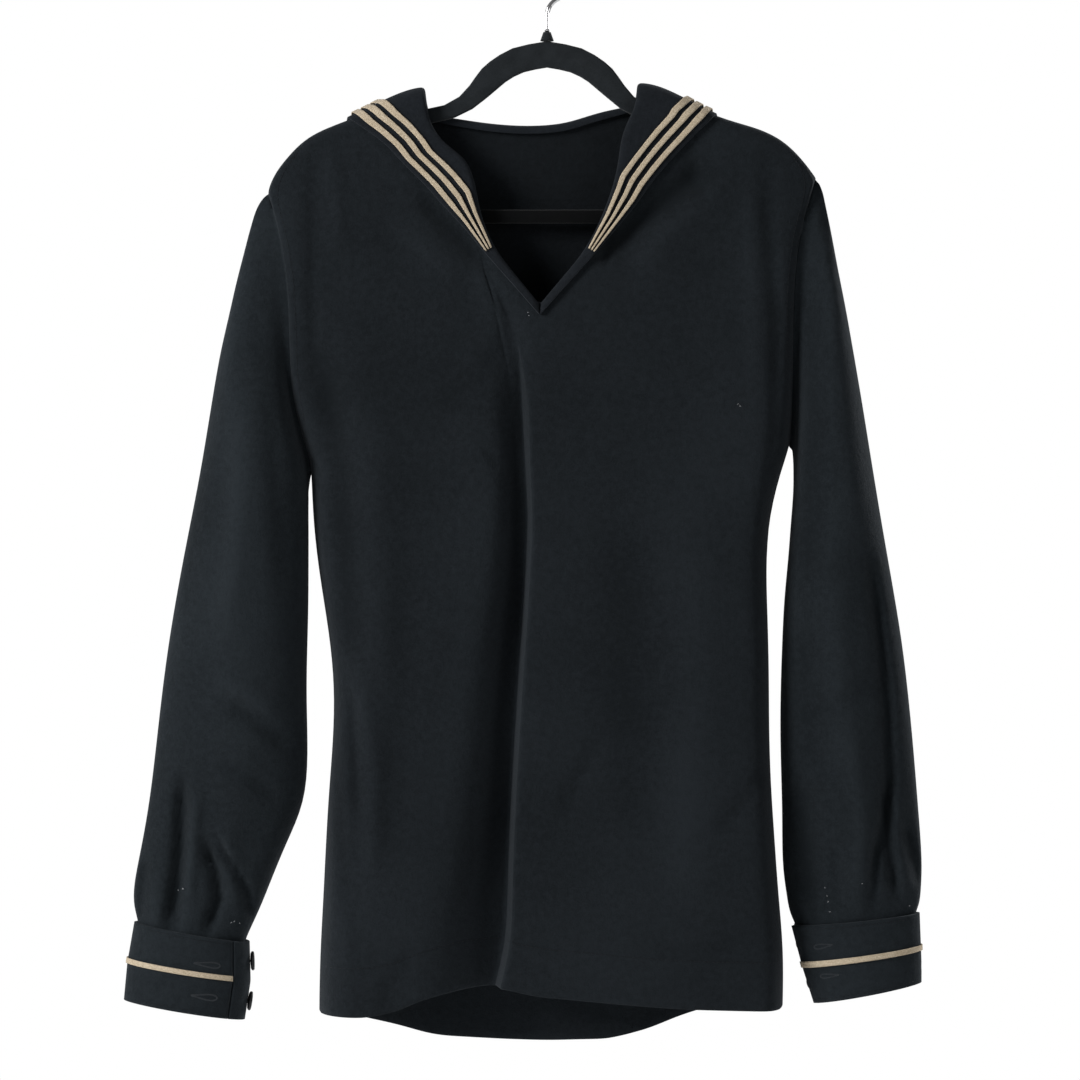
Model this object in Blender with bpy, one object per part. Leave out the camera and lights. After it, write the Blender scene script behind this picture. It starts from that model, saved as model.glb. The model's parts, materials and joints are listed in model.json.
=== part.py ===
"""Sailor jumper of dark melton wool, hanging on a flat flocked hanger with a wire hook.

Sizes in the tables and functions are millimetres, and add() turns them into metres.
The origin is the inside top of the hook, where a rail carries it. +X is to the viewer's
right, -Y is the front, +Z is up, and the hanger lies in the plane y = 0. Each cloth piece
is a wall: a grid of surface points, and the same grid one wall thickness further in.
"""
import math
from collections import namedtuple

import bmesh
import bpy
from mathutils import Vector

MM = 0.001
SEAM_GAP = 0.3            # between two pieces that are sewn together
PANEL_WALL = 2.2          # melton wool
COLLAR_WALL = 2.4         # two layers, pressed
CUFF_WALL = 2.8           # two layers and a stiffener
TAPE_WIDTH = 4.0
TAPE_WALL = 0.8
BUTTON_DIAMETER = 15.0
BUTTON_WALL = 3.0
HANGER_WALL = 5.0
WIRE_DIAMETER = 3.8
HOOK_INSIDE_RADIUS = 17.0

# angles round an armhole, from the shoulder tip (0) to the underarm (180)
ARMHOLE_ANGLES = (0, 9, 15, 23, 40, 60, 80, 100, 120, 140, 160, 180)
ROWS_BELOW_UNDERARM = 10
UNDERARM_SHARE = 0.34     # of a panel's length, for the columns between the armholes
SIDE_LAG = 22.0           # how far below the shoulder a side column finds its place
MIDDLE_LAG = 110.0        # and a column between them
CREST_RADIUS = 9.5        # how far the cloth takes to turn down over the hanger's arm
CREST_DEPTH = 9.0         # half the thickness of the shoulder there

# ---------------------------------------------------------------- smooth tables

Shoulder = namedtuple("Shoulder", "x z")
SHOULDER = [Shoulder(-217.6, -185.6), Shoulder(-215.3, -175.4), Shoulder(-204.4, -159.8),
            Shoulder(-190.3, -144.6), Shoulder(-177.8, -137.0), Shoulder(-157.6, -129.4),
            Shoulder(-98.5, -109.8), Shoulder(74.0, -104.6), Shoulder(133.4, -126.3),
            Shoulder(156.8, -132.6), Shoulder(170.8, -137.4), Shoulder(184.9, -145.0),
            Shoulder(199.7, -159.8), Shoulder(209.8, -173.9)]

# armhole seam, then side seam: its place, and how far it lies in front of the hanger
Side = namedtuple("Side", "z x seam")
LEFT_SIDE = [Side(-185.6, -217.6, 0), Side(-200, -213.5, 6), Side(-222, -206.7, 11),
             Side(-269, -200.5, 15), Side(-330, -199.7, 15), Side(-360, -195.5, 11),
             Side(-380, -189.0, 5), Side(-401.6, -184, 0), Side(-420, -183.6, 0),
             Side(-456, -181.7, 0), Side(-487, -177.1, 0), Side(-534, -169.3, 0),
             Side(-581, -165.4, 0), Side(-659, -170.8, 0), Side(-753, -175.5, 0),
             Side(-815, -178.6, 0), Side(-829, -177.1, 0)]
RIGHT_SIDE = [Side(-173.9, 209.8, 0), Side(-197, 202.8, 6), Side(-222, 195.5, 9),
              Side(-264, 191.9, 10), Side(-330, 191.1, 8), Side(-365, 190.8, 3.5),
              Side(-382, 189.5, 0), Side(-409, 181.7, 0), Side(-425, 175.5, 0),
              Side(-441, 170.8, 0), Side(-487, 170.4, 0), Side(-534, 173.2, 0),
              Side(-612, 173.2, 0), Side(-690, 177.6, 0), Side(-753, 182.0, 0),
              Side(-797, 186.4, 0), Side(-824, 183.3, 0)]

# how far the front stands before the hanger's plane, how wide its sides round off, and the
# long fold below the neck: where its valley starts, its ridge, and the valley's depth
Front = namedtuple("Front", "z depth left_round right_round valley ridge fold")
FRONT = [Front(-105, 9, 12, 10, -60, -5.9, 0), Front(-186, 13, 14, 14, -60, -5.9, 0),
         Front(-279, 23, 20, 20, -56, -5.9, 0), Front(-300, 25, 24, 20, -53, -12.5, 4),
         Front(-346, 29, 31, 20, -46, -14.8, 12), Front(-402, 33, 38, 18, -44, -12.5, 18),
         Front(-439, 35, 38, 16, -44.5, -10.9, 21), Front(-500, 37, 32, 15, -51.5, -13.7, 25),
         Front(-560, 38, 26, 15, -62.4, -18.0, 27), Front(-636, 39, 24, 15, -70.2, -22.6, 29),
         Front(-697, 39, 24, 16, -80.3, -25.7, 30), Front(-767, 40, 26, 16, -99, -27.3, 31),
         Front(-802, 40, 28, 16, -96, -36.0, 31), Front(-845, 40, 28, 16, -94, -37.0, 31)]
WALL_OF_FOLD = 4.5        # width of the steep side of the long fold
RIDGE_RISE = 2.5          # the fold's ridge over the right half of the front
RIDGE_REACH = 28.0

Back = namedtuple("Back", "z depth round")
BACK = [Back(-105, 9, 12), Back(-150, 15, 14), Back(-220, 19, 20), Back(-320, 25, 26),
        Back(-420, 30, 28), Back(-560, 32, 26), Back(-845, 36, 28)]

# soft troughs in a panel: from (x, z) to (x, z), how wide and deep
Trough = namedtuple("Trough", "x0 z0 x1 z1 width depth")
FRONT_TROUGHS = [Trough(-118, -213, -80, -226, 11, 4.0), Trough(-80, -226, -54, -258, 10, 6.5),
                 Trough(118, -178, 82, -200, 9, 3.5), Trough(82, -200, 56, -243, 9, 6.0),
                 Trough(-181, -166, -181, -300, 7, 3.5), Trough(-181, -300, -166, -420, 16, 6.0),
                 Trough(-150, -572, -146, -660, 10, 3.5), Trough(-146, -660, -150, -760, 9, 3.0)]
BACK_TROUGHS = [Trough(-70, -420, -88, -860, 26, 10.0), Trough(66, -400, 84, -860, 24, 9.0),
                Trough(-4, -480, 2, -860, 22, 6.0), Trough(-182, -180, -178, -330, 8, 3.5),
                Trough(174, -175, 170, -340, 8, 3.5)]

Hem = namedtuple("Hem", "x z")
FRONT_HEM = [Hem(-178, -823.5), Hem(-147, -824), Hem(-123, -820.8), Hem(-93, -809.6),
             Hem(-71, -804.5), Hem(-37, -801.4), Hem(-11, -807.2), Hem(20, -810.4),
             Hem(59, -814), Hem(111, -817.7), Hem(184, -819.5)]
BACK_HEM = [Hem(-178, -823.5), Hem(-161, -828.5), Hem(-115, -838.5), Hem(-83, -845.5),
            Hem(-21, -849.7), Hem(41, -849.7), Hem(72, -842.7), Hem(104, -830.7),
            Hem(135, -823), Hem(184, -819.5)]

# the collar's stations on the front: neck seam (x, z) and outer edge (x, z) of each
Station = namedtuple("Station", "neck_x neck_z edge_x edge_z")
LEFT_FALL = [Station(-6.2, -279.0, -6.2, -281.5), Station(-26, -254.6, -28.0, -256.4),
             Station(-45.2, -231.2, -48.5, -233.5), Station(-55.5, -203.8, -67.3, -210.3),
             Station(-58.5, -184.3, -81, -196.8), Station(-62.5, -170.3, -92.5, -182.8),
             Station(-67.8, -160.5, -102.3, -173), Station(-79, -152, -112.5, -163.4),
             Station(-88.3, -143, -122.5, -151.4), Station(-95, -131, -134.5, -141.5)]
RIGHT_FALL = [Station(-5.2, -279.0, -5.2, -281.5), Station(15, -254.6, 17.0, -256.4),
              Station(34.3, -231.8, 37.5, -234.0), Station(47.2, -204.2, 58.0, -209.5),
              Station(53.9, -184.6, 70.0, -195.5), Station(57.1, -173.3, 78, -183.0),
              Station(59.5, -160, 88, -170.5), Station(61.2, -146, 97, -160.0),
              Station(65.0, -134, 107, -149.5), Station(71.0, -122, 119, -137.0)]
# the collar over the shoulder and on the back: places across (x) and along the cloth from
# the shoulder line (w, down the front below 0 and down the back above 0)
Over = namedtuple("Over", "neck_x neck_w edge_x edge_w height")
LEFT_OVER = [Over(-97.0, -11, -145, -10, 6.2), Over(-97.9, -6, -149, -6, 7.5),
             Over(-98.3, -2.6, -152.5, -2.6, 8.6), Over(-98.5, 0, -155, 0, 9.0),
             Over(-98.3, 2.6, -156, 2.6, 8.8), Over(-97.8, 6, -158, 7, 8.0),
             Over(-96.5, 11, -160, 14, 7.0)]
RIGHT_OVER = [Over(72.7, -11, 124, -10, 5.6), Over(73.5, -6, 127, -6, 6.2),
              Over(73.8, -2.6, 129.5, -2.6, 6.7), Over(74.0, 0, 131.5, 0, 6.9),
              Over(73.8, 2.6, 133, 2.6, 6.8), Over(73.4, 6, 135, 7, 6.5),
              Over(72.0, 11, 137.5, 14, 6.2)]
FLAP_LEFT, FLAP_RIGHT = -166.0, 145.0
FLAP_BOTTOM = -352.0
BACK_OVER = [Over(-94.5, 14, -161, 34, 6.6), Over(-91, 16.5, -162, 66, 6.0), Over(-83, 19, -164, 140, 5.5),
             Over(-72, 21.5, FLAP_LEFT, -1, 5.0), Over(-50, 26, -112, -1, 5.0),
             Over(-28, 29, -58, -1, 5.0), Over(-6, 30, -10, -1, 5.0),
             Over(15, 28.5, 38, -1, 5.0), Over(33, 23, 92, -1, 5.0),
             Over(48, 19, FLAP_RIGHT, -1, 5.0), Over(58, 17, 143, 140, 5.5),
             Over(66, 14.5, 140.5, 66, 6.0),
             Over(69.5, 12.8, 139, 34, 6.1)]
COLLAR_CLEARANCE = 1.3    # the fall lies loosely on the panels
STAND_GAP = 1.6          # room for the neck seam, inside the collar's roll
STAND_INSIDE = 2.0        # how far the stand reaches below the neck edge, inside
ROLL_RADIUS = 4.0
MITRE = 1.55              # the stand's reach, where its two ends meet in the V's point
FALL_SHARES = (0.1, 0.25, 0.45, 0.7, 1.0)
TAPE_ROWS = {"outer": 5.7, "middle": 13.6, "inner": 21.4}   # from the collar's edge
TAPED_WIDTH = 26.5        # where the fall is narrower, down the V, the rows draw together
SHOULDER_PINCH = 0.8      # and they lie closer where they cross the shoulder
TAPE_START = 2            # the station from the V's point at which they end
TAPE_LIFT = 0.1           # between the tape and the collar under it

# a sleeve's rings: the outer and the inner end of each, and half its thickness
Ring = namedtuple("Ring", "out_x out_z in_x in_z depth")
LEFT_RINGS = [Ring(-217.9, -185.9, -184.3, -401.6, 0), Ring(-224.6, -192.6, -184.9, -404, 16),
              Ring(-230.1, -206.6, -185.2, -408, 23), Ring(-236.3, -231.6, -185.4, -414, 29),
              Ring(-242.6, -255, -185.5, -421, 32), Ring(-248.8, -284.6, -185.5, -430, 35),
              Ring(-255.8, -313.5, -185.4, -441, 37), Ring(-262.9, -356.4, -185.2, -457, 39),
              Ring(-270.7, -404.8, -185.2, -482, 40), Ring(-280, -450.8, -185.2, -513, 40),
              Ring(-289.4, -499.9, -186.2, -547, 40), Ring(-298, -553.7, -186.6, -581, 39),
              Ring(-304.2, -608.3, -185.0, -624, 37), Ring(-309.7, -657.5, -187.4, -661, 35),
              Ring(-316.7, -696.5, -202.2, -692, 32), Ring(-322.9, -725.3, -214.5, -722, 28),
              Ring(-322.6, -742.0, -223.5, -745, 25.5)]
RIGHT_RINGS = [Ring(210.1, -174.2, 190.0, -382.2, 0), Ring(214.5, -182.5, 190.9, -387, 14),
               Ring(216.5, -191, 191.4, -392, 21), Ring(221.5, -214.4, 191.9, -399, 27),
               Ring(227, -245.6, 191.9, -407, 31), Ring(231.7, -269, 191.9, -416, 34),
               Ring(237.9, -304.1, 191.2, -428, 36), Ring(245.7, -348.6, 189.5, -446, 38),
               Ring(253.5, -397.7, 187.6, -472, 39), Ring(261.3, -444.5, 184.1, -503, 39),
               Ring(269.9, -492.9, 182.5, -538, 39), Ring(278.5, -543.6, 181.0, -577, 38),
               Ring(285.5, -612.2, 180.8, -620, 36), Ring(289.4, -662.9, 182.6, -667, 34),
               Ring(293.0, -705.8, 182.0, -708, 31), Ring(291.8, -728, 185.8, -732, 28),
               Ring(290.9, -739, 187.8, -746, 25.5)]
# folds along a sleeve: from ring to ring, at an angle from the outer edge (front is below
# 180, back above), half its angle, and its depth
Fold = namedtuple("Fold", "first last start_angle end_angle half_angle depth")
LEFT_SLEEVE_FOLDS = [Fold(2, 12, 62, 52, 16, 7.0), Fold(11, 16, 75, 70, 14, 6.0),
                     Fold(13, 16, 118, 112, 10, 4.0), Fold(12, 16, 30, 28, 12, 4.0),
                     Fold(3, 12, 262, 250, 18, 7.0), Fold(11, 16, 290, 284, 13, 5.0),
                     Fold(12, 16, 238, 236, 12, 4.5)]
RIGHT_SLEEVE_FOLDS = [Fold(9, 14, 60, 66, 14, 5.0), Fold(3, 12, 258, 268, 18, 7.0),
                      Fold(13, 16, 40, 42, 11, 4.5), Fold(13, 16, 64, 62, 10, 4.5),
                      Fold(12, 16, 128, 132, 16, 6.0), Fold(11, 16, 290, 288, 13, 5.0),
                      Fold(12, 16, 236, 238, 12, 4.5)]
TUCKED_IN_CUFF = 6.0
SLEEVE_GAP = 0.45         # between an armhole and its sleeve, across the slanted seam
CHORD_ROOM = 0.5          # the cuff's flat faces stand in from its true curve

# a cuff: outer and inner end of its upper and lower edge, half thickness there
LEFT_CUFF = [Ring(-322.1, -753.4, -231.7, -769.0, 27), Ring(-327.6, -785.0, -230.9, -800.0, 26),
             Ring(-330.3, -814.0, -235.4, -829.6, 25)]
RIGHT_CUFF = [Ring(290.9, -746.4, 189.5, -756.5, 27), Ring(292.0, -775.0, 198.0, -788.5, 26),
              Ring(292.4, -800.3, 207.0, -816.7, 25)]
LEFT_CUFF_ANGLES = (137, -221)     # from the overlap's end to the underlap's end
RIGHT_CUFF_ANGLES = (170, -158)
LEFT_TAPE_ANGLES = (136, -160)     # the tape stops short of the buttons
RIGHT_TAPE_ANGLES = (168, -132)
CUFF_STEPS = 24
BUTTON_LEVELS = {"upper": 0.25, "lower": 0.76}
TAPE_LEVEL = 0.47

# half of the hanger's outline, from the top of its arch round to the middle of its bar
HangerRow = namedtuple("HangerRow", "step out_x out_z in_x in_z")
HANGER = [HangerRow(0, 0, -67, 0, -87.5), HangerRow(1, 24, -71.5, 16, -90.5),
          HangerRow(2, 41, -80.3, 29, -96.5), HangerRow(3, 52, -89.6, 38.5, -104),
          HangerRow(4, 60, -101.0, 48, -112.0), HangerRow(5, 75, -115.2, 66, -124.6),
          HangerRow(6, 104, -122.5, 98, -133.5), HangerRow(7, 140, -133.8, 136, -145),
          HangerRow(8, 171, -144.5, 165, -155), HangerRow(9, 188, -157.0, 179, -165),
          HangerRow(10, 199, -173.0, 188, -177), HangerRow(11, 201, -190.0, 189, -186),
          HangerRow(12, 192, -204.0, 183, -194.5), HangerRow(13, 170, -209.0, 165, -198.5),
          HangerRow(14, 85, -209.0, 85, -198.5), HangerRow(15, 0, -209.0, 0, -198.5)]
HANGER_SHIFT = -2.5       # the arms' middle, as the cloth hangs on them
SOCKET_TOP = -60.0


class Curve:
    """A smooth line through given values that never overshoots them."""

    def __init__(self, places, values):
        pairs = sorted(zip(places, values))
        self.places = [place for place, value in pairs]
        self.values = [value for place, value in pairs]
        count = len(pairs)
        steps = [self.places[i + 1] - self.places[i] for i in range(count - 1)]
        slopes = [(self.values[i + 1] - self.values[i]) / steps[i] for i in range(count - 1)]
        self.slopes = [slopes[0]]
        for i in range(1, count - 1):
            before, after = slopes[i - 1], slopes[i]
            flat = before * after <= 0
            self.slopes.append(0.0 if flat else 2 * before * after / (before + after))
        self.slopes.append(slopes[-1])

    def __call__(self, place):
        places, values = self.places, self.values
        if place <= places[0]:
            return values[0]
        if place >= places[-1]:
            return values[-1]
        i = 0
        while places[i + 1] < place:
            i += 1
        step = places[i + 1] - places[i]
        t = (place - places[i]) / step
        start = (1 + 2 * t) * (1 - t) ** 2 * values[i] + t * (1 - t) ** 2 * step * self.slopes[i]
        end = t * t * (3 - 2 * t) * values[i + 1] - t * t * (1 - t) * step * self.slopes[i + 1]
        return start + end


def column(table, name, key):
    """One column of a table as a smooth line over another column."""
    return Curve([getattr(row, key) for row in table], [getattr(row, name) for row in table])


shoulder_z = column(SHOULDER, "z", "x")
left_x, left_seam = column(LEFT_SIDE, "x", "z"), column(LEFT_SIDE, "seam", "z")
right_x, right_seam = column(RIGHT_SIDE, "x", "z"), column(RIGHT_SIDE, "seam", "z")
front = {name: column(FRONT, name, "z") for name in Front._fields[1:]}
back = {name: column(BACK, name, "z") for name in Back._fields[1:]}
front_hem, back_hem = column(FRONT_HEM, "z", "x"), column(BACK_HEM, "z", "x")
LEFT_TIP, LEFT_UNDERARM = -185.6, -401.6
RIGHT_TIP, RIGHT_UNDERARM = -173.9, -382.0


def clamp(value):
    return min(1.0, max(0.0, value))


def ease(value):
    """0 to 1 with a soft start and end."""
    value = clamp(value)
    return value * value * (3 - 2 * value)


def mix(a, b, share):
    return a + (b - a) * share


def quarter(share):
    """Height of a quarter circle, 0 at its foot and 1 at its top."""
    return math.sqrt(max(0.0, 1 - (1 - clamp(share)) ** 2))


def troughs(rows, x, z):
    """How deep the soft troughs are at a place on a panel."""
    deepest = 0.0
    for row in rows:
        run_x, run_z = row.x1 - row.x0, row.z1 - row.z0
        share = clamp(((x - row.x0) * run_x + (z - row.z0) * run_z) / (run_x ** 2 + run_z ** 2))
        distance = math.hypot(x - row.x0 - run_x * share, z - row.z0 - run_z * share)
        deepest = max(deepest, row.depth * math.exp(-(distance / row.width) ** 2))
    return deepest


def sides(x, z, depth, left_round, right_round):
    """Depth of a panel whose two sides round off to their seams."""
    left_rise = quarter((x - left_x(z)) / left_round)
    right_rise = quarter((right_x(z) - x) / right_round)
    return (depth * (left_rise + right_rise - 1) + left_seam(z) * (1 - left_rise)
            + right_seam(z) * (1 - right_rise))


def front_depth(x, z, folds=True):
    """How far the front lies before the hanger's plane."""
    depth = front["depth"](z)
    if folds:
        ridge, valley, fold = front["ridge"](z), front["valley"](z), front["fold"](z)
        foot = ridge - WALL_OF_FOLD
        if x < foot:
            depth -= fold * ease((x - valley) / (foot - valley)) ** 1.3
        else:
            depth -= fold * (1 - clamp((x - foot) / WALL_OF_FOLD))
            depth += RIDGE_RISE * min(1, fold / 12) * math.exp(-((x - ridge) / RIDGE_REACH) ** 2)
        depth -= troughs(FRONT_TROUGHS, x, z)
    depth = sides(x, z, depth, front["left_round"](z), front["right_round"](z))
    return soften_crest(depth, x, z)


def back_depth(x, z, folds=True):
    """How far the back lies behind the hanger's plane."""
    depth = back["depth"](z)
    if folds:
        depth -= troughs(BACK_TROUGHS, x, z)
    depth = sides(x, z, depth, back["round"](z), back["round"](z))
    return soften_crest(depth, x, z)


def soften_crest(depth, x, z):
    """Draw a panel in to the shoulder line over the hanger's arm."""
    below = shoulder_z(x) - z
    near = CREST_DEPTH * quarter(below / CREST_RADIUS)
    return mix(near, max(near, depth), ease(below / 60))


def on_body(x, w):
    """A place on the smooth body: w down the front below 0, down the back above 0."""
    z = shoulder_z(x) - abs(w)
    return Vector((x, -front_depth(x, z, False) if w < 0 else back_depth(x, z, False), z))


def off_body(x, w):
    """The outward direction of the smooth body there."""
    step = 0.6
    across = on_body(x + step, w) - on_body(x - step, w)
    along = on_body(x, w + step) - on_body(x, w - step)
    return across.cross(along).normalized()


# ---------------------------------------------------------------- meshes and materials

def material(name, colour, roughness, metallic=0.0):
    finish = bpy.data.materials.new(name)
    finish.use_nodes = True
    shader = finish.node_tree.nodes["Principled BSDF"]
    shader.inputs["Base Color"].default_value = (*colour, 1.0)
    shader.inputs["Roughness"].default_value = roughness
    shader.inputs["Metallic"].default_value = metallic
    return finish


def add(name, bm, finish):
    """Make an object of a bmesh whose points are millimetres."""
    bmesh.ops.recalc_face_normals(bm, faces=bm.faces)
    bmesh.ops.scale(bm, vec=(MM, MM, MM), verts=bm.verts)
    mesh = bpy.data.meshes.new(name)
    bm.to_mesh(mesh)
    bm.free()
    mesh.materials.append(finish)
    mesh.shade_smooth()
    mesh.set_sharp_from_angle(angle=math.radians(50))
    thing = bpy.data.objects.new(name, mesh)
    bpy.context.scene.collection.objects.link(thing)
    return thing


def grid_normals(grid, closed):
    """The outward direction at each point of a grid of rows, from its neighbours."""
    rows, count = len(grid), len(grid[0])
    normals = []
    for i in range(rows):
        line = []
        for j in range(count):
            before, after = (j - 1, (j + 1) % count) if closed else (max(j - 1, 0), min(j + 1, count - 1))
            across = grid[i][after] - grid[i][before]
            along = grid[min(i + 1, rows - 1)][j] - grid[max(i - 1, 0)][j]
            line.append(across.cross(along).normalized() * -1)
        normals.append(line)
    return normals


def wall(name, grid, thickness, finish, closed=False, normals=None):
    """A closed solid: the grid's surface, and the same surface one thickness further in."""
    normals = normals or grid_normals(grid, closed)
    rows, count = len(grid), len(grid[0])
    bm = bmesh.new()
    layers = []
    for depth in (0.0, thickness):
        layer = []
        for i in range(rows):
            line = []
            for j in range(count):
                line.append(bm.verts.new(grid[i][j] - normals[i][j] * depth))
            layer.append(line)
        layers.append(layer)
    outer, inner = layers
    last = count if closed else count - 1
    for i in range(rows - 1):
        for j in range(last):
            k = (j + 1) % count
            bm.faces.new((outer[i][j], outer[i][k], outer[i + 1][k], outer[i + 1][j]))
            bm.faces.new((inner[i][j], inner[i + 1][j], inner[i + 1][k], inner[i][k]))
    for i in (0, rows - 1):
        for j in range(last):
            k = (j + 1) % count
            bm.faces.new((outer[i][j], outer[i][k], inner[i][k], inner[i][j]))
    if not closed:
        for j in (0, count - 1):
            for i in range(rows - 1):
                bm.faces.new((outer[i][j], outer[i + 1][j], inner[i + 1][j], inner[i][j]))
    return add(name, bm, finish)


# ---------------------------------------------------------------- front and back

def levels(top, underarm, hem):
    """Heights down a side: round the armhole, then evenly down to the hem."""
    turned = [mix(top, underarm, (1 - math.cos(math.radians(a))) / 2) for a in ARMHOLE_ANGLES]
    steps = ROWS_BELOW_UNDERARM
    return turned + [mix(underarm, hem, (i + 1) / steps) for i in range(steps)]


def panel_column(top, low_x, hem, lag):
    """A column of a panel from its top point down, drifting to its place in the folds."""
    height = levels(top[1], mix(top[1], hem, UNDERARM_SHARE), hem)
    return [(mix(top[0], low_x(z), ease((top[1] - z) / lag)), z) for z in height]


def seam_column(side_x, tip, underarm, hem):
    return [(side_x(z), z) for z in levels(tip, underarm, hem)]


def neck_points(stations):
    return [(row.neck_x, row.neck_z) for row in stations]


def over_points(stations):
    """Neck points of stations that are given along the cloth, at either side of the crest."""
    return [(row.neck_x, shoulder_z(row.neck_x) - abs(row.neck_w)) for row in stations]


def front_columns():
    """Columns across the front, from the left seam to the right one."""
    columns = [seam_column(left_x, LEFT_TIP, LEFT_UNDERARM, front_hem(-178))]
    for angle, top in ((28, -216.4), (52, -211.5), (75, -201)):
        share = 1 - math.cos(math.radians(angle))
        low = lambda z, share=share: left_x(z) + front["left_round"](z) * share
        columns.append(panel_column((top, shoulder_z(top)), low, front_hem(low(-825)), SIDE_LAG))
    left_neck = over_points(LEFT_OVER[3::-1]) + neck_points(LEFT_FALL)[::-1]
    tops = [(x, shoulder_z(x)) for x in (-190, -176, -155, -128)] + left_neck
    ridge_at = len(tops) - 1
    foot_at = ridge_at - 1
    valley_at = foot_at - 4

    def left_low(place):
        def low(z):
            start = left_x(z) + front["left_round"](z)
            valley, ridge = front["valley"](z), front["ridge"](z)
            foot = ridge - WALL_OF_FOLD
            if place == ridge_at:
                return ridge
            if place >= valley_at:
                return mix(valley, foot, (place - valley_at) / (foot_at - valley_at))
            return mix(start, valley, place / valley_at)
        return low

    for place, top in enumerate(tops):
        low = left_low(place)
        columns.append(panel_column(top, low, front_hem(low(-810)), MIDDLE_LAG))
    right_neck = neck_points(RIGHT_FALL)[1:] + over_points(RIGHT_OVER[:4])
    tops = right_neck + [(x, shoulder_z(x)) for x in (104, 135, 158, 172)]
    for place, top in enumerate(tops):
        def low(z, share=(place + 1) / (len(tops) + 1)):
            return mix(front["ridge"](z), right_x(z) - front["right_round"](z), share)
        columns.append(panel_column(top, low, front_hem(low(-810)), MIDDLE_LAG))
    for angle, top in ((90, 186), (62, 199), (32, 207.6)):
        share = 1 - math.cos(math.radians(angle))
        low = lambda z, share=share: right_x(z) - front["right_round"](z) * share
        columns.append(panel_column((top, shoulder_z(top)), low, front_hem(low(-822)), SIDE_LAG))
    columns.append(seam_column(right_x, RIGHT_TIP, RIGHT_UNDERARM, front_hem(184)))
    return columns


def back_columns():
    """Columns across the back, from the left seam to the right one."""
    columns = [seam_column(left_x, LEFT_TIP, LEFT_UNDERARM, back_hem(-178))]
    for angle, top in ((32, -216), (62, -208)):
        share = 1 - math.cos(math.radians(angle))
        low = lambda z, share=share: left_x(z) + back["round"](z) * share
        columns.append(panel_column((top, shoulder_z(top)), low, back_hem(low(-825)), SIDE_LAG))
    neck = over_points(LEFT_OVER[3:] + BACK_OVER + RIGHT_OVER[:2:-1])
    tops = [(x, shoulder_z(x)) for x in (-192, -177, -155, -128)] + neck
    tops += [(x, shoulder_z(x)) for x in (104, 135, 158, 178)]
    for place, top in enumerate(tops):
        def low(z, share=place / (len(tops) - 1)):
            return mix(left_x(z) + back["round"](z), right_x(z) - back["round"](z), share)
        columns.append(panel_column(top, low, back_hem(low(-825)), MIDDLE_LAG))
    for angle, top in ((62, 197), (32, 207)):
        share = 1 - math.cos(math.radians(angle))
        low = lambda z, share=share: right_x(z) - back["round"](z) * share
        columns.append(panel_column((top, shoulder_z(top)), low, back_hem(low(-825)), SIDE_LAG))
    columns.append(seam_column(right_x, RIGHT_TIP, RIGHT_UNDERARM, back_hem(184)))
    return columns


def seam_half_gap(depth):
    """Keep a panel's points half a seam's gap off the plane between front and back."""
    return max(SEAM_GAP / 2, depth)


def panel_normal(depth_at, side, x, z):
    """The outward direction of a panel, from the slopes of its depth."""
    step, steepest = 0.5, 6.0
    slopes = [(depth_at(x + step, z) - depth_at(x - step, z)) / (2 * step),
              (depth_at(x, z + step) - depth_at(x, z - step)) / (2 * step)]
    across, up = (max(-steepest, min(steepest, slope)) for slope in slopes)
    return Vector((-across, side, -up)).normalized()


def panel(name, columns, depth_at, side, finish):
    """A front (side -1) or back (side +1) panel from its columns of (x, z).

    Where two panels meet, at the shoulder and the side seam, the wall keeps to its own side
    of the plane between them.
    """
    count = len(columns)
    grid, normals = [], []
    for i in range(len(columns[0])):
        line, directions = [], []
        for j, points in enumerate(columns):
            x, z = points[i]
            at_seam = j in (0, count - 1)
            seam = (left_seam if j == 0 else right_seam)(z)
            depth = seam_half_gap(seam if at_seam else depth_at(x, z))
            normal = panel_normal(depth_at, side, x, z)
            room = (depth - SEAM_GAP / 2) / PANEL_WALL
            if abs(normal.y) > room:
                normal.y = 0
                normal = normal.normalized() * math.sqrt(1 - room * room)
                normal.y = side * room
            line.append(Vector((x, side * depth, z)))
            directions.append(normal)
        grid.append(line)
        normals.append(directions)
    return wall(name, grid, PANEL_WALL, finish, normals=normals)


# ---------------------------------------------------------------- collar and its tapes

CollarLine = namedtuple("CollarLine", "neck_x neck_w edge_x edge_w height")


def down_front(station, height):
    """A station that is given by its heights on the front, by distances from the shoulder."""
    return CollarLine(station.neck_x, station.neck_z - shoulder_z(station.neck_x),
                      station.edge_x, station.edge_z - shoulder_z(station.edge_x), height)


def collar_lines():
    """The collar's stations from the V's point up the left, round the back and down again."""
    heights = (3.4, 3.4, 3.4, 3.6, 3.9, 4.2, 4.5, 4.8, 5.1, 5.5)
    lines = [down_front(row, height) for row, height in zip(LEFT_FALL, heights)]
    lines += [CollarLine(*row) for row in LEFT_OVER]
    for row in BACK_OVER:
        edge_w = shoulder_z(row.edge_x) - FLAP_BOTTOM if row.edge_w < 0 else row.edge_w
        lines.append(CollarLine(row.neck_x, row.neck_w, row.edge_x, edge_w, row.height))
    lines += [CollarLine(*row) for row in RIGHT_OVER[::-1]]
    lines += [down_front(row, height) for row, height in zip(RIGHT_FALL, heights)][::-1]
    return lines


def fall_lift(line, share):
    """How far the fall's outer face stands off the body, from the roll to the edge."""
    rest = COLLAR_CLEARANCE + COLLAR_WALL
    return rest + (line.height - rest) * (1 - clamp(share)) ** 1.6


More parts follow.
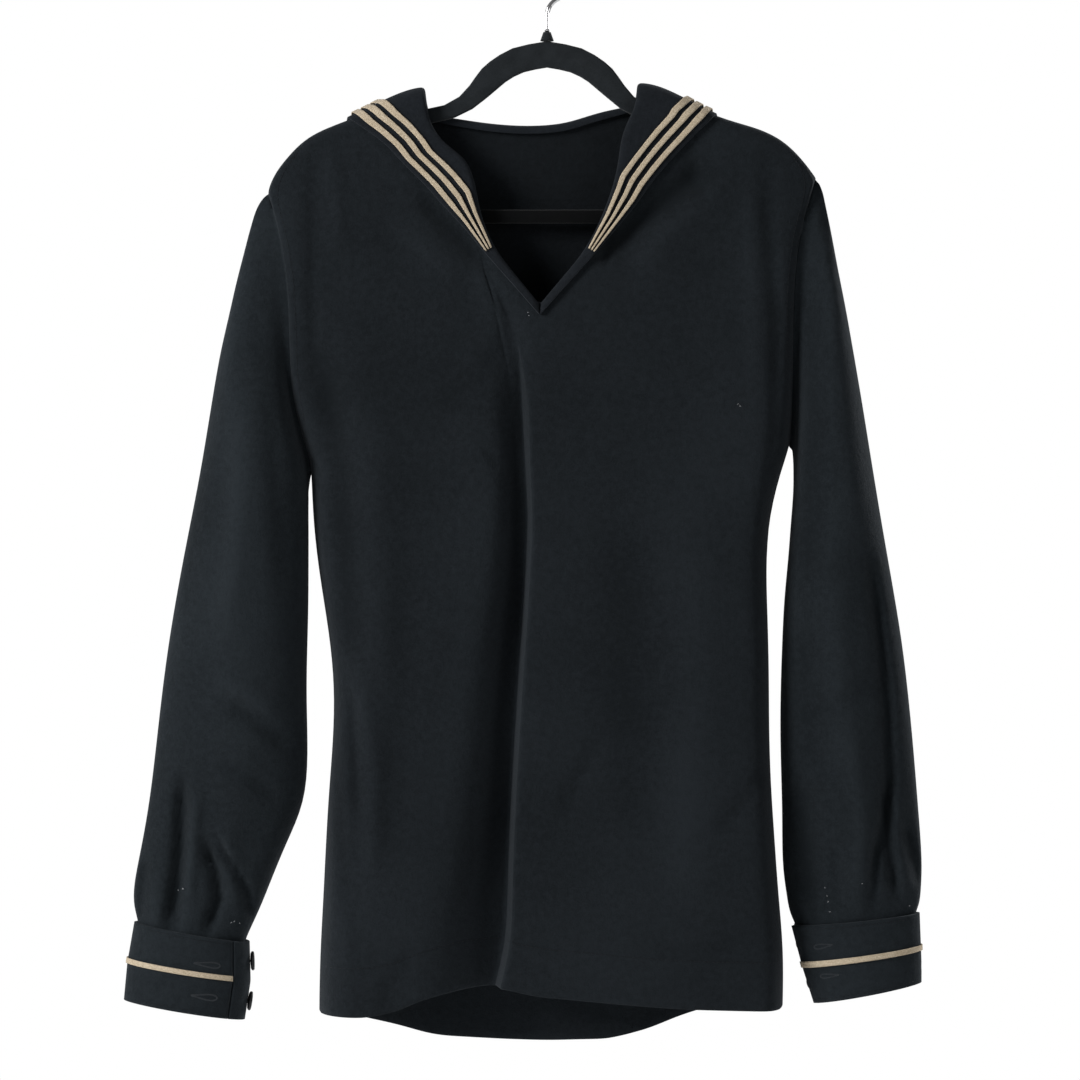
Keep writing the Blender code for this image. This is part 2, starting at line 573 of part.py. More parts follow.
def collar_profile(line, at_point):
    """Points of the collar's outer face at a station: stand, roll and fall.

    At the V's point the section is cut upright, as a mitre.
    """
    neck = on_body(line.neck_x, line.neck_w)
    edge = on_body(line.edge_x, line.edge_w)
    off = off_body(line.neck_x, line.neck_w)
    if at_point:
        out = Vector((0, 0, -1))
        off = Vector((0, -1, 0))
    else:
        out = on_body(mix(line.neck_x, line.edge_x, 0.05), mix(line.neck_w, line.edge_w, 0.05)) - neck
    out = (out - off * out.dot(off)).normalized()
    inside = -(PANEL_WALL + STAND_GAP + COLLAR_WALL)
    top = line.height
    radius = min(ROLL_RADIUS, (top - inside) / 2)
    middle = -(STAND_GAP + COLLAR_WALL) + radius
    shapes = [(STAND_INSIDE, inside), (middle, inside)]
    for angle in (225, 180):
        turn = math.radians(angle)
        shapes.append((middle + radius * math.cos(turn), inside + radius + radius * math.sin(turn)))
    for angle in (170, 135, 100):
        turn = math.radians(angle)
        shapes.append((middle + radius * math.cos(turn), top - radius + radius * math.sin(turn)))
    mitre = MITRE if at_point else 1.0
    points = [neck + out * m * mitre + off * n for m, n in shapes]
    length = (edge - neck).length
    start = clamp((middle + 1.5) / max(length, 1e-6))
    for share in FALL_SHARES:
        place = mix(min(start, 0.6), 1.0, share)
        x, w = mix(line.neck_x, line.edge_x, place), mix(line.neck_w, line.edge_w, place)
        points.append(on_body(x, w) + off_body(x, w) * fall_lift(line, place))
    return points


def make_collar(finish):
    lines = collar_lines()
    grid = [collar_profile(line, line in (lines[0], lines[-1])) for line in lines]
    return wall("collar", grid, COLLAR_WALL, finish)


def slant(lines, i):
    """The sine of the angle between a station's rib and the collar's edge."""
    line, before, after = lines[i], lines[max(i - 1, 0)], lines[min(i + 1, len(lines) - 1)]
    run = Vector((after.edge_x - before.edge_x, after.edge_w - before.edge_w))
    rib = Vector((line.neck_x - line.edge_x, line.neck_w - line.edge_w))
    return abs(rib.x * run.y - rib.y * run.x) / (run.length * max(rib.length, 1e-6))


def on_flap(line, inset, sine):
    """A place on the flat part of the fall, a distance in from its edge, and outwards there."""
    rib = Vector((line.neck_x - line.edge_x, line.neck_w - line.edge_w))
    if line.edge_x in (FLAP_LEFT, FLAP_RIGHT) and line.edge_w > 200:      # a corner
        x = line.edge_x + (inset if line.edge_x == FLAP_LEFT else -inset)
        w, share = line.edge_w - inset, inset / abs(rib.y)
    else:
        share = inset / (sine * rib.length)
        x, w = line.edge_x + rib.x * share, line.edge_w + rib.y * share
    off = off_body(x, w)
    return on_body(x, w) + off * fall_lift(line, 1 - share), off


def on_profile(points, directions, reach):
    """A place on a station's outer face, a distance in from its edge, and outwards there."""
    last = len(points) - 1
    for i in range(last, 0, -1):
        step = (points[i - 1] - points[i]).length
        if reach <= step:
            break
        reach -= step
    share = min(reach / step, 1.0)
    return (points[i].lerp(points[i - 1], share),
            directions[i].lerp(directions[i - 1], share).normalized())


def make_tape(name, inset, finish):
    """A row of tape: a strip that follows the collar's edge a little above its outer face."""
    lines = collar_lines()
    fronts = len(LEFT_FALL)
    faces = [collar_profile(line, line in (lines[0], lines[-1])) for line in lines]
    directions = grid_normals(faces, False)
    grid = []
    for i in range(TAPE_START, len(lines) - TAPE_START):
        sine = slant(lines, i)
        to_roll = sum((faces[i][k] - faces[i][k + 1]).length for k in range(5, len(faces[i]) - 1))
        squeeze = min(1.0, to_roll * sine / TAPED_WIDTH)
        first = TAPE_ROWS["outer"]
        pinch = mix(SHOULDER_PINCH, 1.0, ease(abs(lines[i].edge_w) / 30))
        across = []
        for side in (-1, 0, 1):
            reach = first + (inset - first) * pinch + side * TAPE_WIDTH / 2
            if fronts <= i < len(lines) - fronts:
                across.append(on_flap(lines[i], reach, sine))
            else:
                across.append(on_profile(faces[i], directions[i], reach * squeeze / sine))
        grid.append([place + off * (TAPE_LIFT + TAPE_WALL) for place, off in across])
    return wall(name, grid, TAPE_WALL, finish)


# ---------------------------------------------------------------- sleeves

def sleeve_ring(rings, k, side_x, seam, tip, underarm, folds):
    """Points round ring k: front half from the outer end to the inner end, then the back."""
    ring = rings[k]
    outer, inner = Vector((ring.out_x, 0, ring.out_z)), Vector((ring.in_x, 0, ring.in_z))
    away = -1 if ring.out_x < 0 else 1
    release = ease(k / 5)
    angles = list(ARMHOLE_ANGLES) + [360 - a for a in ARMHOLE_ANGLES[-2:0:-1]]
    points = []
    for angle in angles:
        turn = math.radians(angle)
        share = (1 - math.cos(turn)) / 2
        point = outer.lerp(inner, share)
        z = mix(tip, underarm, share)
        line_x = mix(rings[0].out_x, rings[0].in_x, share)
        point.x += (side_x(z) + away * SLEEVE_GAP - line_x) * (1 - release)
        sunk = 0.0
        for fold in folds:
            if fold.first <= k <= fold.last:
                along = (k - fold.first) / (fold.last - fold.first)
                middle = mix(fold.start_angle, fold.end_angle, along)
                fade = 1.0 if k > 12 and fold.last == 16 else math.sin(math.pi * (0.12 + 0.76 * along))
                sunk = max(sunk, fold.depth * fade * math.exp(-((angle - middle) / fold.half_angle) ** 2))
        bulge = math.sin(turn) * (ring.depth - min(sunk, ring.depth * 0.6))
        seam_depth = seam(z) * (1 if angle < 180 else -1)
        point.y = -mix(seam_depth, bulge, ease(k / 4))
        points.append(point)
    return points


def make_sleeve(name, rings, cuff, side_x, seam, tip, underarm, folds, finish):
    grid = [sleeve_ring(rings, k, side_x, seam, tip, underarm, folds) for k in range(len(rings))]
    inset = CUFF_WALL + SEAM_GAP + CHORD_ROOM
    for depth_in in (0.0, TUCKED_IN_CUFF):
        grid.append([cuff_point(cuff, angle, depth_in / cuff_height(cuff), inset)
                     for angle in list(ARMHOLE_ANGLES) + [a - 360 for a in
                                                          [360 - b for b in ARMHOLE_ANGLES[-2:0:-1]]]])
    if rings[0].out_x > 0:
        grid = [row[::-1] for row in grid]
    normals = grid_normals(grid, True)
    for normal in normals[0]:
        if normal.x * rings[0].out_x > 0:      # the rim keeps off the panel's edge
            normal.x = 0
            normal.normalize()
    return wall(name, grid, PANEL_WALL, finish, closed=True, normals=normals)


# ---------------------------------------------------------------- cuffs

def cuff_height(cuff):
    return math.hypot(cuff[-1].out_x - cuff[0].out_x, cuff[-1].out_z - cuff[0].out_z)


def cuff_point(cuff, angle, level, inset=0.0):
    """A point of a cuff's outer face, an angle round from its outer end; front is above 0."""
    place = clamp(level) * (len(cuff) - 1)
    i = min(int(place), len(cuff) - 2)
    upper, lower, share = cuff[i], cuff[i + 1], place - i
    outer = Vector((mix(upper.out_x, lower.out_x, share), 0, mix(upper.out_z, lower.out_z, share)))
    inner = Vector((mix(upper.in_x, lower.in_x, share), 0, mix(upper.in_z, lower.in_z, share)))
    depth = mix(upper.depth, lower.depth, share) - inset
    half = (outer - inner) / 2
    half -= half.normalized() * inset
    turn = math.radians(angle)
    return (outer + inner) / 2 + half * math.cos(turn) - Vector((0, depth * math.sin(turn), 0))


def cuff_angles(ends):
    return [mix(ends[0], ends[1], i / CUFF_STEPS) for i in range(CUFF_STEPS + 1)]


def make_cuff(name, cuff, ends, finish):
    grid = [[cuff_point(cuff, angle, level) for angle in cuff_angles(ends)]
            for level in (0.0, 0.5, 1.0)]
    if cuff[0].out_x > 0:
        grid = [row[::-1] for row in grid]
    return wall(name, [row[::-1] for row in grid], CUFF_WALL, finish)


def make_cuff_tape(name, cuff, ends, finish):
    half = TAPE_WIDTH / 2 / cuff_height(cuff)
    lift = -(SEAM_GAP + TAPE_WALL + 0.3)
    grid = [[cuff_point(cuff, angle, level, lift) for angle in cuff_angles(ends)]
            for level in (TAPE_LEVEL - half, TAPE_LEVEL + half)]
    if cuff[0].out_x > 0:
        grid = [row[::-1] for row in grid]
    return wall(name, [row[::-1] for row in grid], TAPE_WALL, finish)


def make_button(name, cuff, angle, level, finish):
    """A sewn button with a raised rim, on the outer face of a cuff's underlap."""
    seat = cuff_point(cuff, angle, level)
    across = cuff_point(cuff, angle + 4, level) - cuff_point(cuff, angle - 4, level)
    along = cuff_point(cuff, angle, level + 0.1) - cuff_point(cuff, angle, level - 0.1)
    out = across.cross(along).normalized()
    if out.dot(cuff_point(cuff, angle, level, -1.0) - seat) < 0:
        out.negate()
    bm = bmesh.new()
    radius = BUTTON_DIAMETER / 2
    bmesh.ops.create_cone(bm, cap_ends=True, segments=16, radius1=radius, radius2=radius,
                          depth=BUTTON_WALL)
    rims = [edge for edge in bm.edges if abs(edge.verts[0].co.z - edge.verts[1].co.z) < 1e-6]
    bmesh.ops.bevel(bm, geom=rims, offset=0.7, segments=1, affect="EDGES")
    turn = Vector((0, 0, 1)).rotation_difference(out).to_matrix()
    bmesh.ops.rotate(bm, cent=(0, 0, 0), matrix=turn, verts=bm.verts)
    bmesh.ops.translate(bm, vec=seat + out * (SEAM_GAP + BUTTON_WALL / 2), verts=bm.verts)
    return add(name, bm, finish)


# ---------------------------------------------------------------- hanger and hook

def make_hanger(finish):
    """A flat loop: arch, arms, rounded ends and lower bar, as one extruded ribbon."""
    names = HangerRow._fields[1:]
    lines = {name: column(HANGER, name, "step") for name in names}
    last = HANGER[-1].step
    steps = [i * last / 26 for i in range(27)]
    half = [tuple(lines[name](step) for name in names) for step in steps]
    loop = half + [(-row[0], row[1], -row[2], row[3]) for row in half[-2:0:-1]]
    bm = bmesh.new()
    rings = []
    for out_x, out_z, in_x, in_z in loop:
        shift = HANGER_SHIFT * clamp((abs(out_x) - 60) / 60)
        ring = [bm.verts.new((x + shift, y, z)) for x, z in ((out_x, out_z), (in_x, in_z))
                for y in (-HANGER_WALL / 2, HANGER_WALL / 2)]
        rings.append(ring)
    for i, ring in enumerate(rings):
        after = rings[(i + 1) % len(rings)]
        for a, b in ((0, 1), (1, 3), (3, 2), (2, 0)):
            bm.faces.new((ring[a], ring[b], after[b], after[a]))
    return add("hanger", bm, finish)


def make_socket(finish):
    bm = bmesh.new()
    foot, height = HANGER[0].out_z + SEAM_GAP, SOCKET_TOP - HANGER[0].out_z - SEAM_GAP
    bmesh.ops.create_cone(bm, cap_ends=True, segments=20, radius1=5.4, radius2=3.0, depth=height)
    bmesh.ops.translate(bm, vec=(0, 0, foot + height / 2), verts=bm.verts)
    return add("hook_socket", bm, finish)


def make_hook(finish):
    """A bent wire: straight shank, a turn to the right, and a round bowl over the rail."""
    radius = HOOK_INSIDE_RADIUS + WIRE_DIAMETER / 2
    centre_z = -HOOK_INSIDE_RADIUS
    start = math.radians(-62)
    foot = Vector((0, 0, SOCKET_TOP + SEAM_GAP))
    bend = Vector((0, 0, -50.0))
    join = Vector((radius * math.cos(start), 0, centre_z + radius * math.sin(start)))
    reach = 8.5
    joined = Vector((-math.sin(start), 0, math.cos(start))) * reach
    points = [foot, foot.lerp(bend, 0.5)]
    for i in range(7):
        t = i / 6
        a, b, c, d = bend, bend + Vector((0, 0, reach)), join - joined, join
        points.append(a * (1 - t) ** 3 + b * 3 * t * (1 - t) ** 2 + c * 3 * t * t * (1 - t) + d * t ** 3)
    sweep, turns = math.radians(262), 18
    for i in range(1, turns + 1):
        angle = start + sweep * i / turns
        points.append(Vector((radius * math.cos(angle), 0, centre_z + radius * math.sin(angle))))
    sides = 12
    bm = bmesh.new()
    rings = []
    for i, point in enumerate(points):
        along = (points[min(i + 1, len(points) - 1)] - points[max(i - 1, 0)]).normalized()
        across = along.cross(Vector((0, 1, 0))).normalized()
        rings.append([bm.verts.new(point + (across * math.cos(turn) + Vector((0, math.sin(turn), 0)))
                                   * WIRE_DIAMETER / 2)
                      for turn in (2 * math.pi * k / sides for k in range(sides))])
    for ring, after in zip(rings, rings[1:]):
        for k in range(sides):
            bm.faces.new((ring[k], ring[(k + 1) % sides], after[(k + 1) % sides], after[k]))
    for ring in (rings[0], rings[-1]):
        bm.faces.new(ring)
    return add("hook", bm, finish)


def main():
    for thing in list(bpy.data.objects):
        bpy.data.objects.remove(thing)
    melton = material("melton_wool", (0.012, 0.014, 0.019), 0.95)
    lining = material("melton_collar", (0.011, 0.013, 0.017), 0.93)
    tape = material("woven_tape", (0.55, 0.45, 0.32), 0.8)
    horn = material("black_button", (0.01, 0.01, 0.011), 0.45)
    flock = material("flocked_board", (0.011, 0.012, 0.015), 0.97)
    steel = material("plated_wire", (0.75, 0.75, 0.76), 0.25, 1.0)
    panel("front", front_columns(), front_depth, -1, melton)
    panel("back", back_columns(), back_depth, 1, melton)
    make_sleeve("sleeve_left", LEFT_RINGS, LEFT_CUFF, left_x, left_seam, LEFT_TIP,
                LEFT_UNDERARM, LEFT_SLEEVE_FOLDS, melton)
    make_sleeve("sleeve_right", RIGHT_RINGS, RIGHT_CUFF, right_x, right_seam, RIGHT_TIP,
                RIGHT_UNDERARM, RIGHT_SLEEVE_FOLDS, melton)
    make_collar(lining)
    for row, inset in TAPE_ROWS.items():
        make_tape("collar_tape_" + row, inset, tape)
    for side, cuff, ends, taped, buttons_at in (
            ("left", LEFT_CUFF, LEFT_CUFF_ANGLES, LEFT_TAPE_ANGLES, -176),
            ("right", RIGHT_CUFF, RIGHT_CUFF_ANGLES, RIGHT_TAPE_ANGLES, -146)):
        make_cuff("cuff_" + side, cuff, ends, melton)
        make_cuff_tape("cuff_tape_" + side, cuff, taped, tape)
        for place, level in BUTTON_LEVELS.items():
            make_button("button_" + side + "_" + place, cuff, buttons_at, level, horn)
    make_hanger(flock)
    make_socket(flock)
    make_hook(steel)


main()
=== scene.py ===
# %% [markdown]
# # A sailor jumper on its hanger
# This lesson dresses a plain model of a dark wool jumper so that it looks like cloth.
# The plain model gives every piece its place and size. Each cloth piece is taken over,
# smoothed, creased by hand and given a woollen finish; trimmings are modelled on top.
# Lengths are metres, but paths of creases and stitches are given in millimetres. The
# viewer looks along +Y, so the garment's front is at -Y, and left is the viewer's left.

# %% Load the plain model
import json
import math

import bmesh
import bpy
import numpy as np
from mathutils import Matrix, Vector
from mathutils.bvhtree import BVHTree

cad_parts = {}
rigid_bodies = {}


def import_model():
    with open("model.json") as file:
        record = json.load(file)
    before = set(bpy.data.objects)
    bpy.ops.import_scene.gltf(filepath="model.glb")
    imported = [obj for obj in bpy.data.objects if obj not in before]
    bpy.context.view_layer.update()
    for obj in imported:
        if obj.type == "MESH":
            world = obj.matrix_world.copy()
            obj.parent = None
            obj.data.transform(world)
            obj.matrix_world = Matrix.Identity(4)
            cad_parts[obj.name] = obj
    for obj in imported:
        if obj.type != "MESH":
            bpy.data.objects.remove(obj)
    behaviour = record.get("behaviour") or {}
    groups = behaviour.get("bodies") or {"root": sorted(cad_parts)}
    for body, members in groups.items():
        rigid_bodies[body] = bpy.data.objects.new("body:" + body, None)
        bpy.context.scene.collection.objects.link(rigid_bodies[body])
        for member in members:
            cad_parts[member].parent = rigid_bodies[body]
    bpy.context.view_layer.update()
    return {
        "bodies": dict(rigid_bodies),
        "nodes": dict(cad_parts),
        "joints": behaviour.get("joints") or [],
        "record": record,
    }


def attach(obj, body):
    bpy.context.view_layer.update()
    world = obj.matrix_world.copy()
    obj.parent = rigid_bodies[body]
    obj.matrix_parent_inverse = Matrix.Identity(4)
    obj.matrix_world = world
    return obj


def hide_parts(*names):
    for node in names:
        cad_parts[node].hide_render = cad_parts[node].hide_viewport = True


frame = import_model()
MM = 0.001
print("plain model:", len(frame["nodes"]), "nodes")

# %% [markdown]
# ## Camera and studio
# The photograph looks level at the garment from about three metres, with a long lens, so
# the sides hardly converge. Its ground is plain white, but the light on the cloth is not
# even: it comes mostly from a large panel far to the left, so that the right-facing side of
# each fold and the inside of the neck fall into shade. The sky shows white to the camera
# and gives only a seventh of that as light.

# %% Camera
camera = bpy.data.objects.new("camera", bpy.data.cameras.new("camera"))
bpy.context.scene.collection.objects.link(camera)
camera.location = (-0.0055, -3.0, -0.456)
camera.rotation_euler = (math.radians(90), 0, 0)
camera.data.sensor_width = 36
camera.data.lens = 128.2
camera.data.clip_end = 50
bpy.context.scene.camera = camera
print("camera lens", camera.data.lens, "mm")

# %% White sky, soft panels and a pale floor
SKY_LIGHT, SKY_SEEN = 0.15, 1.0
world = bpy.data.worlds.new("studio_sky")
world.use_nodes = True
sky = world.node_tree.nodes["Background"]
sky.inputs["Color"].default_value = (1, 1, 1, 1)
seen = world.node_tree.nodes.new("ShaderNodeMapRange")
seen.inputs["To Min"].default_value = SKY_LIGHT
seen.inputs["To Max"].default_value = SKY_SEEN
path = world.node_tree.nodes.new("ShaderNodeLightPath")
world.node_tree.links.new(path.outputs["Is Camera Ray"], seen.inputs["Value"])
world.node_tree.links.new(seen.outputs["Result"], sky.inputs["Strength"])
bpy.context.scene.world = world
bpy.context.scene.view_settings.view_transform = "Standard"
bpy.context.scene.view_settings.look = "None"


def soft_panel(name, place, aim, size, power):
    """A square light that looks at a point."""
    light = bpy.data.lights.new(name, "AREA")
    light.shape = "SQUARE"
    light.size = size
    light.energy = power
    lamp = bpy.data.objects.new(name, light)
    lamp.location = place
    lamp.rotation_euler = (Vector(aim) - Vector(place)).to_track_quat("-Z", "Y").to_euler()
    bpy.context.scene.collection.objects.link(lamp)


soft_panel("left_panel", (-2.35, -1.6, 0.6), (0, 0, -0.45), 1.1, 98)
soft_panel("right_panel", (2.2, -1.9, 0.1), (0, 0, -0.45), 1.0, 12)
soft_panel("back_right_panel", (2.2, 1.7, 0.6), (0, 0, -0.45), 1.1, 76)
soft_panel("back_left_panel", (-2.1, 2.0, 0.2), (0, 0, -0.45), 1.0, 16)

bpy.ops.mesh.primitive_plane_add(size=4.8, location=(0, 0, -1.25))
floor = bpy.context.active_object
floor.name = "studio_floor"
bpy.ops.object.transform_apply()
paper = bpy.data.materials.new("white_paper")
paper.use_nodes = True
paper.node_tree.nodes["Principled BSDF"].inputs["Base Color"].default_value = (0.9, 0.9, 0.9, 1)
paper.node_tree.nodes["Principled BSDF"].inputs["Roughness"].default_value = 0.9
floor.data.materials.append(paper)
print("studio ready")

# %% [markdown]
# ## Finishes
# A finish is a small network of nodes. The wool is melton: woven, then fulled and brushed
# until the weave is lost under a short nap. So it has no threads to draw. It is nearly
# black with a blue cast, it never shines, and its nap makes a fine, uneven grain that
# catches light at a low angle, which a little sheen gives.

# %% Helpers for finishes


class Finish:
    """A material and short ways to add nodes to it."""

    def __init__(self, name):
        self.material = bpy.data.materials.new(name)
        self.material.use_nodes = True
        self.tree = self.material.node_tree
        self.shader = self.tree.nodes["Principled BSDF"]
        self.place = self.tree.nodes.new("ShaderNodeTexCoord").outputs["Object"]

    def set(self, **values):
        for name, value in values.items():
            self.shader.inputs[name.replace("_", " ")].default_value = value

    def node(self, kind, links=(), **values):
        made = self.tree.nodes.new("ShaderNode" + kind)
        for name, value in values.items():
            setattr(made, name, value)
        for socket, source in links:
            if hasattr(source, "is_output"):
                self.tree.links.new(source, made.inputs[socket])
            else:
                made.inputs[socket].default_value = source
        return made

    def noise(self, scale, detail=3.0, roughness=0.55, at=None):
        made = self.node("TexNoise", [("Vector", at or self.place), ("Scale", scale),
                                      ("Detail", detail), ("Roughness", roughness)])
        return made.outputs["Fac"]

    def spread(self, source, low, high, to_low=0.0, to_high=1.0, kind="SMOOTHSTEP"):
        made = self.node("MapRange", [("Value", source), ("From Min", low), ("From Max", high),
                                      ("To Min", to_low), ("To Max", to_high)],
                         interpolation_type=kind)
        return made.outputs["Result"]

    def sum(self, a, b, how="ADD"):
        return self.node("Math", [(0, a), (1, b)], operation=how).outputs[0]

    def blend(self, share, first, second):
        made = self.node("Mix", data_type="RGBA")
        for socket, source in zip((made.inputs[0], made.inputs[6], made.inputs[7]),
                                  (share, first, second)):
            if hasattr(source, "is_output"):
                self.tree.links.new(source, socket)
            else:
                socket.default_value = source
        return made.outputs[2]

    def colour(self, source):
        self.tree.links.new(source, self.shader.inputs["Base Color"])

    def attribute(self, name):
        return self.node("Attribute", attribute_name=name).outputs["Fac"]

    def relief(self, height, depth, strength=1.0, under=None):
        links = [("Height", height), ("Distance", depth), ("Strength", strength)]
        if under:
            links.append(("Normal", under))
        return self.node("Bump", links).outputs["Normal"]

    def carve(self, normal):
        self.tree.links.new(normal, self.shader.inputs["Normal"])


def rgb(red, green, blue):
    return (red, green, blue, 1.0)


# %% Wool
# how much the crease mark darkens the wool: painted shade in hollows, painted highlight on ridges
HOLLOW_DARKENS = 0.65


def wool(name, dark, light):
    """Melton: a mottled nap and slow changes of tone. Painted highlight makes it paler on ridges,
    painted shade makes it darker in hollows and darkest inside."""
    finish = Finish(name)
    nap = finish.noise(950, 4.0, 0.7)
    clumps = finish.noise(230, 3.0, 0.6)
    slow = finish.noise(7, 2.0, 0.5)
    mottle = finish.sum(finish.sum(nap, 0.6, "MULTIPLY"), finish.sum(clumps, 0.4, "MULTIPLY"))
    tone = finish.sum(finish.spread(mottle, 0.3, 0.7, 0.1, 1.0),
                      finish.spread(slow, 0.3, 0.7, -0.2, 0.2))
    # painted shade in creases and painted highlight on ridges, from the hollow mark
    crease_shade_and_highlight = finish.sum(finish.attribute("hollow"), HOLLOW_DARKENS, "MULTIPLY")
    tone = finish.sum(tone, crease_shade_and_highlight, "SUBTRACT")
    outside = finish.blend(tone, rgb(*dark), rgb(*light))
    # a darker copy of the wool, painted shade for the inside of the back
    inside = finish.blend(tone, rgb(*(0.45 * part for part in dark)),
                          rgb(*(0.55 * part for part in light)))
    finish.colour(finish.blend(finish.attribute("inside"), outside, inside))
    finish.set(Roughness=1.0, Specular_IOR_Level=0.06, Sheen_Weight=0.07, Sheen_Roughness=0.6,
               Sheen_Tint=rgb(0.62, 0.68, 0.75))
    normal = finish.relief(nap, 0.0007, 0.55)
    normal = finish.relief(clumps, 0.0016, 0.35, normal)
    finish.carve(normal)
    return finish.material


body_wool = wool("melton_wool_nap", (0.0050, 0.0066, 0.0080), (0.0118, 0.0148, 0.0178))
sleeve_wool = wool("melton_sleeve_nap", (0.0058, 0.0078, 0.0094), (0.0136, 0.0174, 0.0206))
collar_wool = wool("melton_collar_nap", (0.0048, 0.0060, 0.0076), (0.0112, 0.0134, 0.0166))
print("wool finishes made")

# %% [markdown]
# The tape is plain woven cotton, cream, narrow and a little fuzzy at its edges. Its
# threads cross at right angles; one fine diagonal wave and a fine noise make its relief.

# %% Tape, thread, buttons, flock and steel


def tape_finish():
    finish = Finish("cream_woven_tape")
    ribs = finish.node("TexWave", [("Vector", finish.place), ("Scale", 620.0), ("Distortion", 1.2),
                                   ("Detail", 1.0)], bands_direction="DIAGONAL").outputs["Fac"]
    fuzz = finish.noise(1300, 3.0)
    stain = finish.noise(60, 3.0)
    base = finish.blend(finish.spread(fuzz, 0.25, 0.75), rgb(0.33, 0.26, 0.175), rgb(0.62, 0.53, 0.40))
    finish.colour(finish.blend(finish.spread(stain, 0.35, 0.8, 0.0, 0.3), base, rgb(0.40, 0.31, 0.20)))
    finish.set(Roughness=0.9, Specular_IOR_Level=0.15, Sheen_Weight=0.1)
    finish.carve(finish.relief(ribs, 0.0003, 0.6, finish.relief(fuzz, 0.0003, 0.5)))
    return finish.material


def thread_finish(name, dark, light):
    finish = Finish(name)
    twist = finish.node("TexWave", [("Vector", finish.place), ("Scale", 900.0), ("Distortion", 0.5)],
                        bands_direction="DIAGONAL").outputs["Fac"]
    finish.colour(finish.blend(twist, rgb(*dark), rgb(*light)))
    finish.set(Roughness=0.7, Specular_IOR_Level=0.2)
    finish.carve(finish.relief(twist, 0.0003, 0.7))
    return finish.material


def button_finish():
    finish = Finish("black_button_satin")
    haze = finish.noise(300, 3.0)
    finish.colour(finish.blend(finish.spread(haze, 0.3, 0.7), rgb(0.008, 0.008, 0.009),
                               rgb(0.020, 0.020, 0.022)))
    finish.set(Specular_IOR_Level=0.3)
    rough = finish.spread(haze, 0.3, 0.7, 0.42, 0.58)
    finish.tree.links.new(rough, finish.shader.inputs["Roughness"])
    finish.carve(finish.relief(haze, 0.0001, 0.3))
    return finish.material


def flock_finish():
    """Flock, with painted shade below, where the garment covers it; the upper part keeps its tone."""
    finish = Finish("black_flock")
    fibres = finish.noise(2600, 3.0, 0.7)
    patches = finish.noise(90, 3.0)
    tone = finish.sum(finish.sum(fibres, 0.7, "MULTIPLY"), finish.sum(patches, 0.3, "MULTIPLY"))
    share = finish.spread(tone, 0.3, 0.7)
    flock_own_tone = finish.blend(share, rgb(0.0080, 0.0098, 0.0112), rgb(0.0205, 0.0240, 0.0270))
    # painted shade: a much darker copy of the flock for the covered lower part
    flock_painted_shade = finish.blend(share, rgb(0.0007, 0.0009, 0.0010), rgb(0.0020, 0.0024, 0.0027))
    height = finish.node("SeparateXYZ", [("Vector", finish.place)]).outputs["Z"]
    # darker below a height, as painted shade
    finish.colour(finish.blend(finish.spread(height, -0.19, -0.11), flock_painted_shade, flock_own_tone))
    finish.set(Roughness=1.0, Specular_IOR_Level=0.05, Sheen_Weight=0.12, Sheen_Roughness=0.5)
    finish.carve(finish.relief(fibres, 0.0004, 0.6))
    return finish.material


def steel_finish():
    finish = Finish("plated_wire_bright")
    streak = finish.noise(160, 3.0)
    finish.colour(finish.blend(finish.spread(streak, 0.3, 0.7), rgb(0.60, 0.60, 0.61),
                               rgb(0.82, 0.82, 0.83)))
    rough = finish.spread(streak, 0.3, 0.75, 0.12, 0.24)
    finish.tree.links.new(rough, finish.shader.inputs["Roughness"])
    finish.set(Metallic=1.0)
    finish.carve(finish.relief(streak, 0.00004, 0.25))
    return finish.material


tape, horn = tape_finish(), button_finish()
thread = thread_finish("black_thread", (0.0035, 0.0042, 0.0055), (0.012, 0.014, 0.018))
buttonhole_thread = thread_finish("grey_buttonhole_thread", (0.020, 0.024, 0.028), (0.055, 0.062, 0.070))
lint = thread_finish("white_lint", (0.30, 0.31, 0.33), (0.75, 0.76, 0.78))
flock, steel = flock_finish(), steel_finish()
print("trim finishes made")

# %% [markdown]
# ## Taking a cloth piece over
# Every piece of the plain model is a closed wall made of triangles. A copy is cleaned:
# equal points are merged and triangles joined to quads. Sharp rims are marked, so that
# they stay crisp, and a Subdivision Surface rounds the rest, as thick wool would. A long
# edge rounds more than a short one, so tapes and cuffs, whose corners matter, are split
# into short edges first. Pieces that get creases are split again afterwards, because a
# crease needs points to bend at.

# %% Helpers that copy and smooth
SAME_POINT = 0.02 * MM
RIM_ANGLE = math.radians(48)
frame["slots"] = {row["node"]: row["material_slot"] for row in frame["record"]["subparts"]}


def split_long(bm, longest):
    """Halve the edges that are too long, and say whether there were any."""
    long_edges = [edge for edge in bm.edges if edge.calc_length() > longest]
    if long_edges:
        bmesh.ops.subdivide_edges(bm, edges=long_edges, cuts=1, use_grid_fill=True)
    return bool(long_edges)


def apply_modifier(piece, name):
    bpy.ops.object.select_all(action="DESELECT")
    bpy.context.view_layer.objects.active = piece
    piece.select_set(True)
    bpy.ops.object.modifier_apply(modifier=name)


def shade_smooth(piece):
    for polygon in piece.data.polygons:
        polygon.use_smooth = True


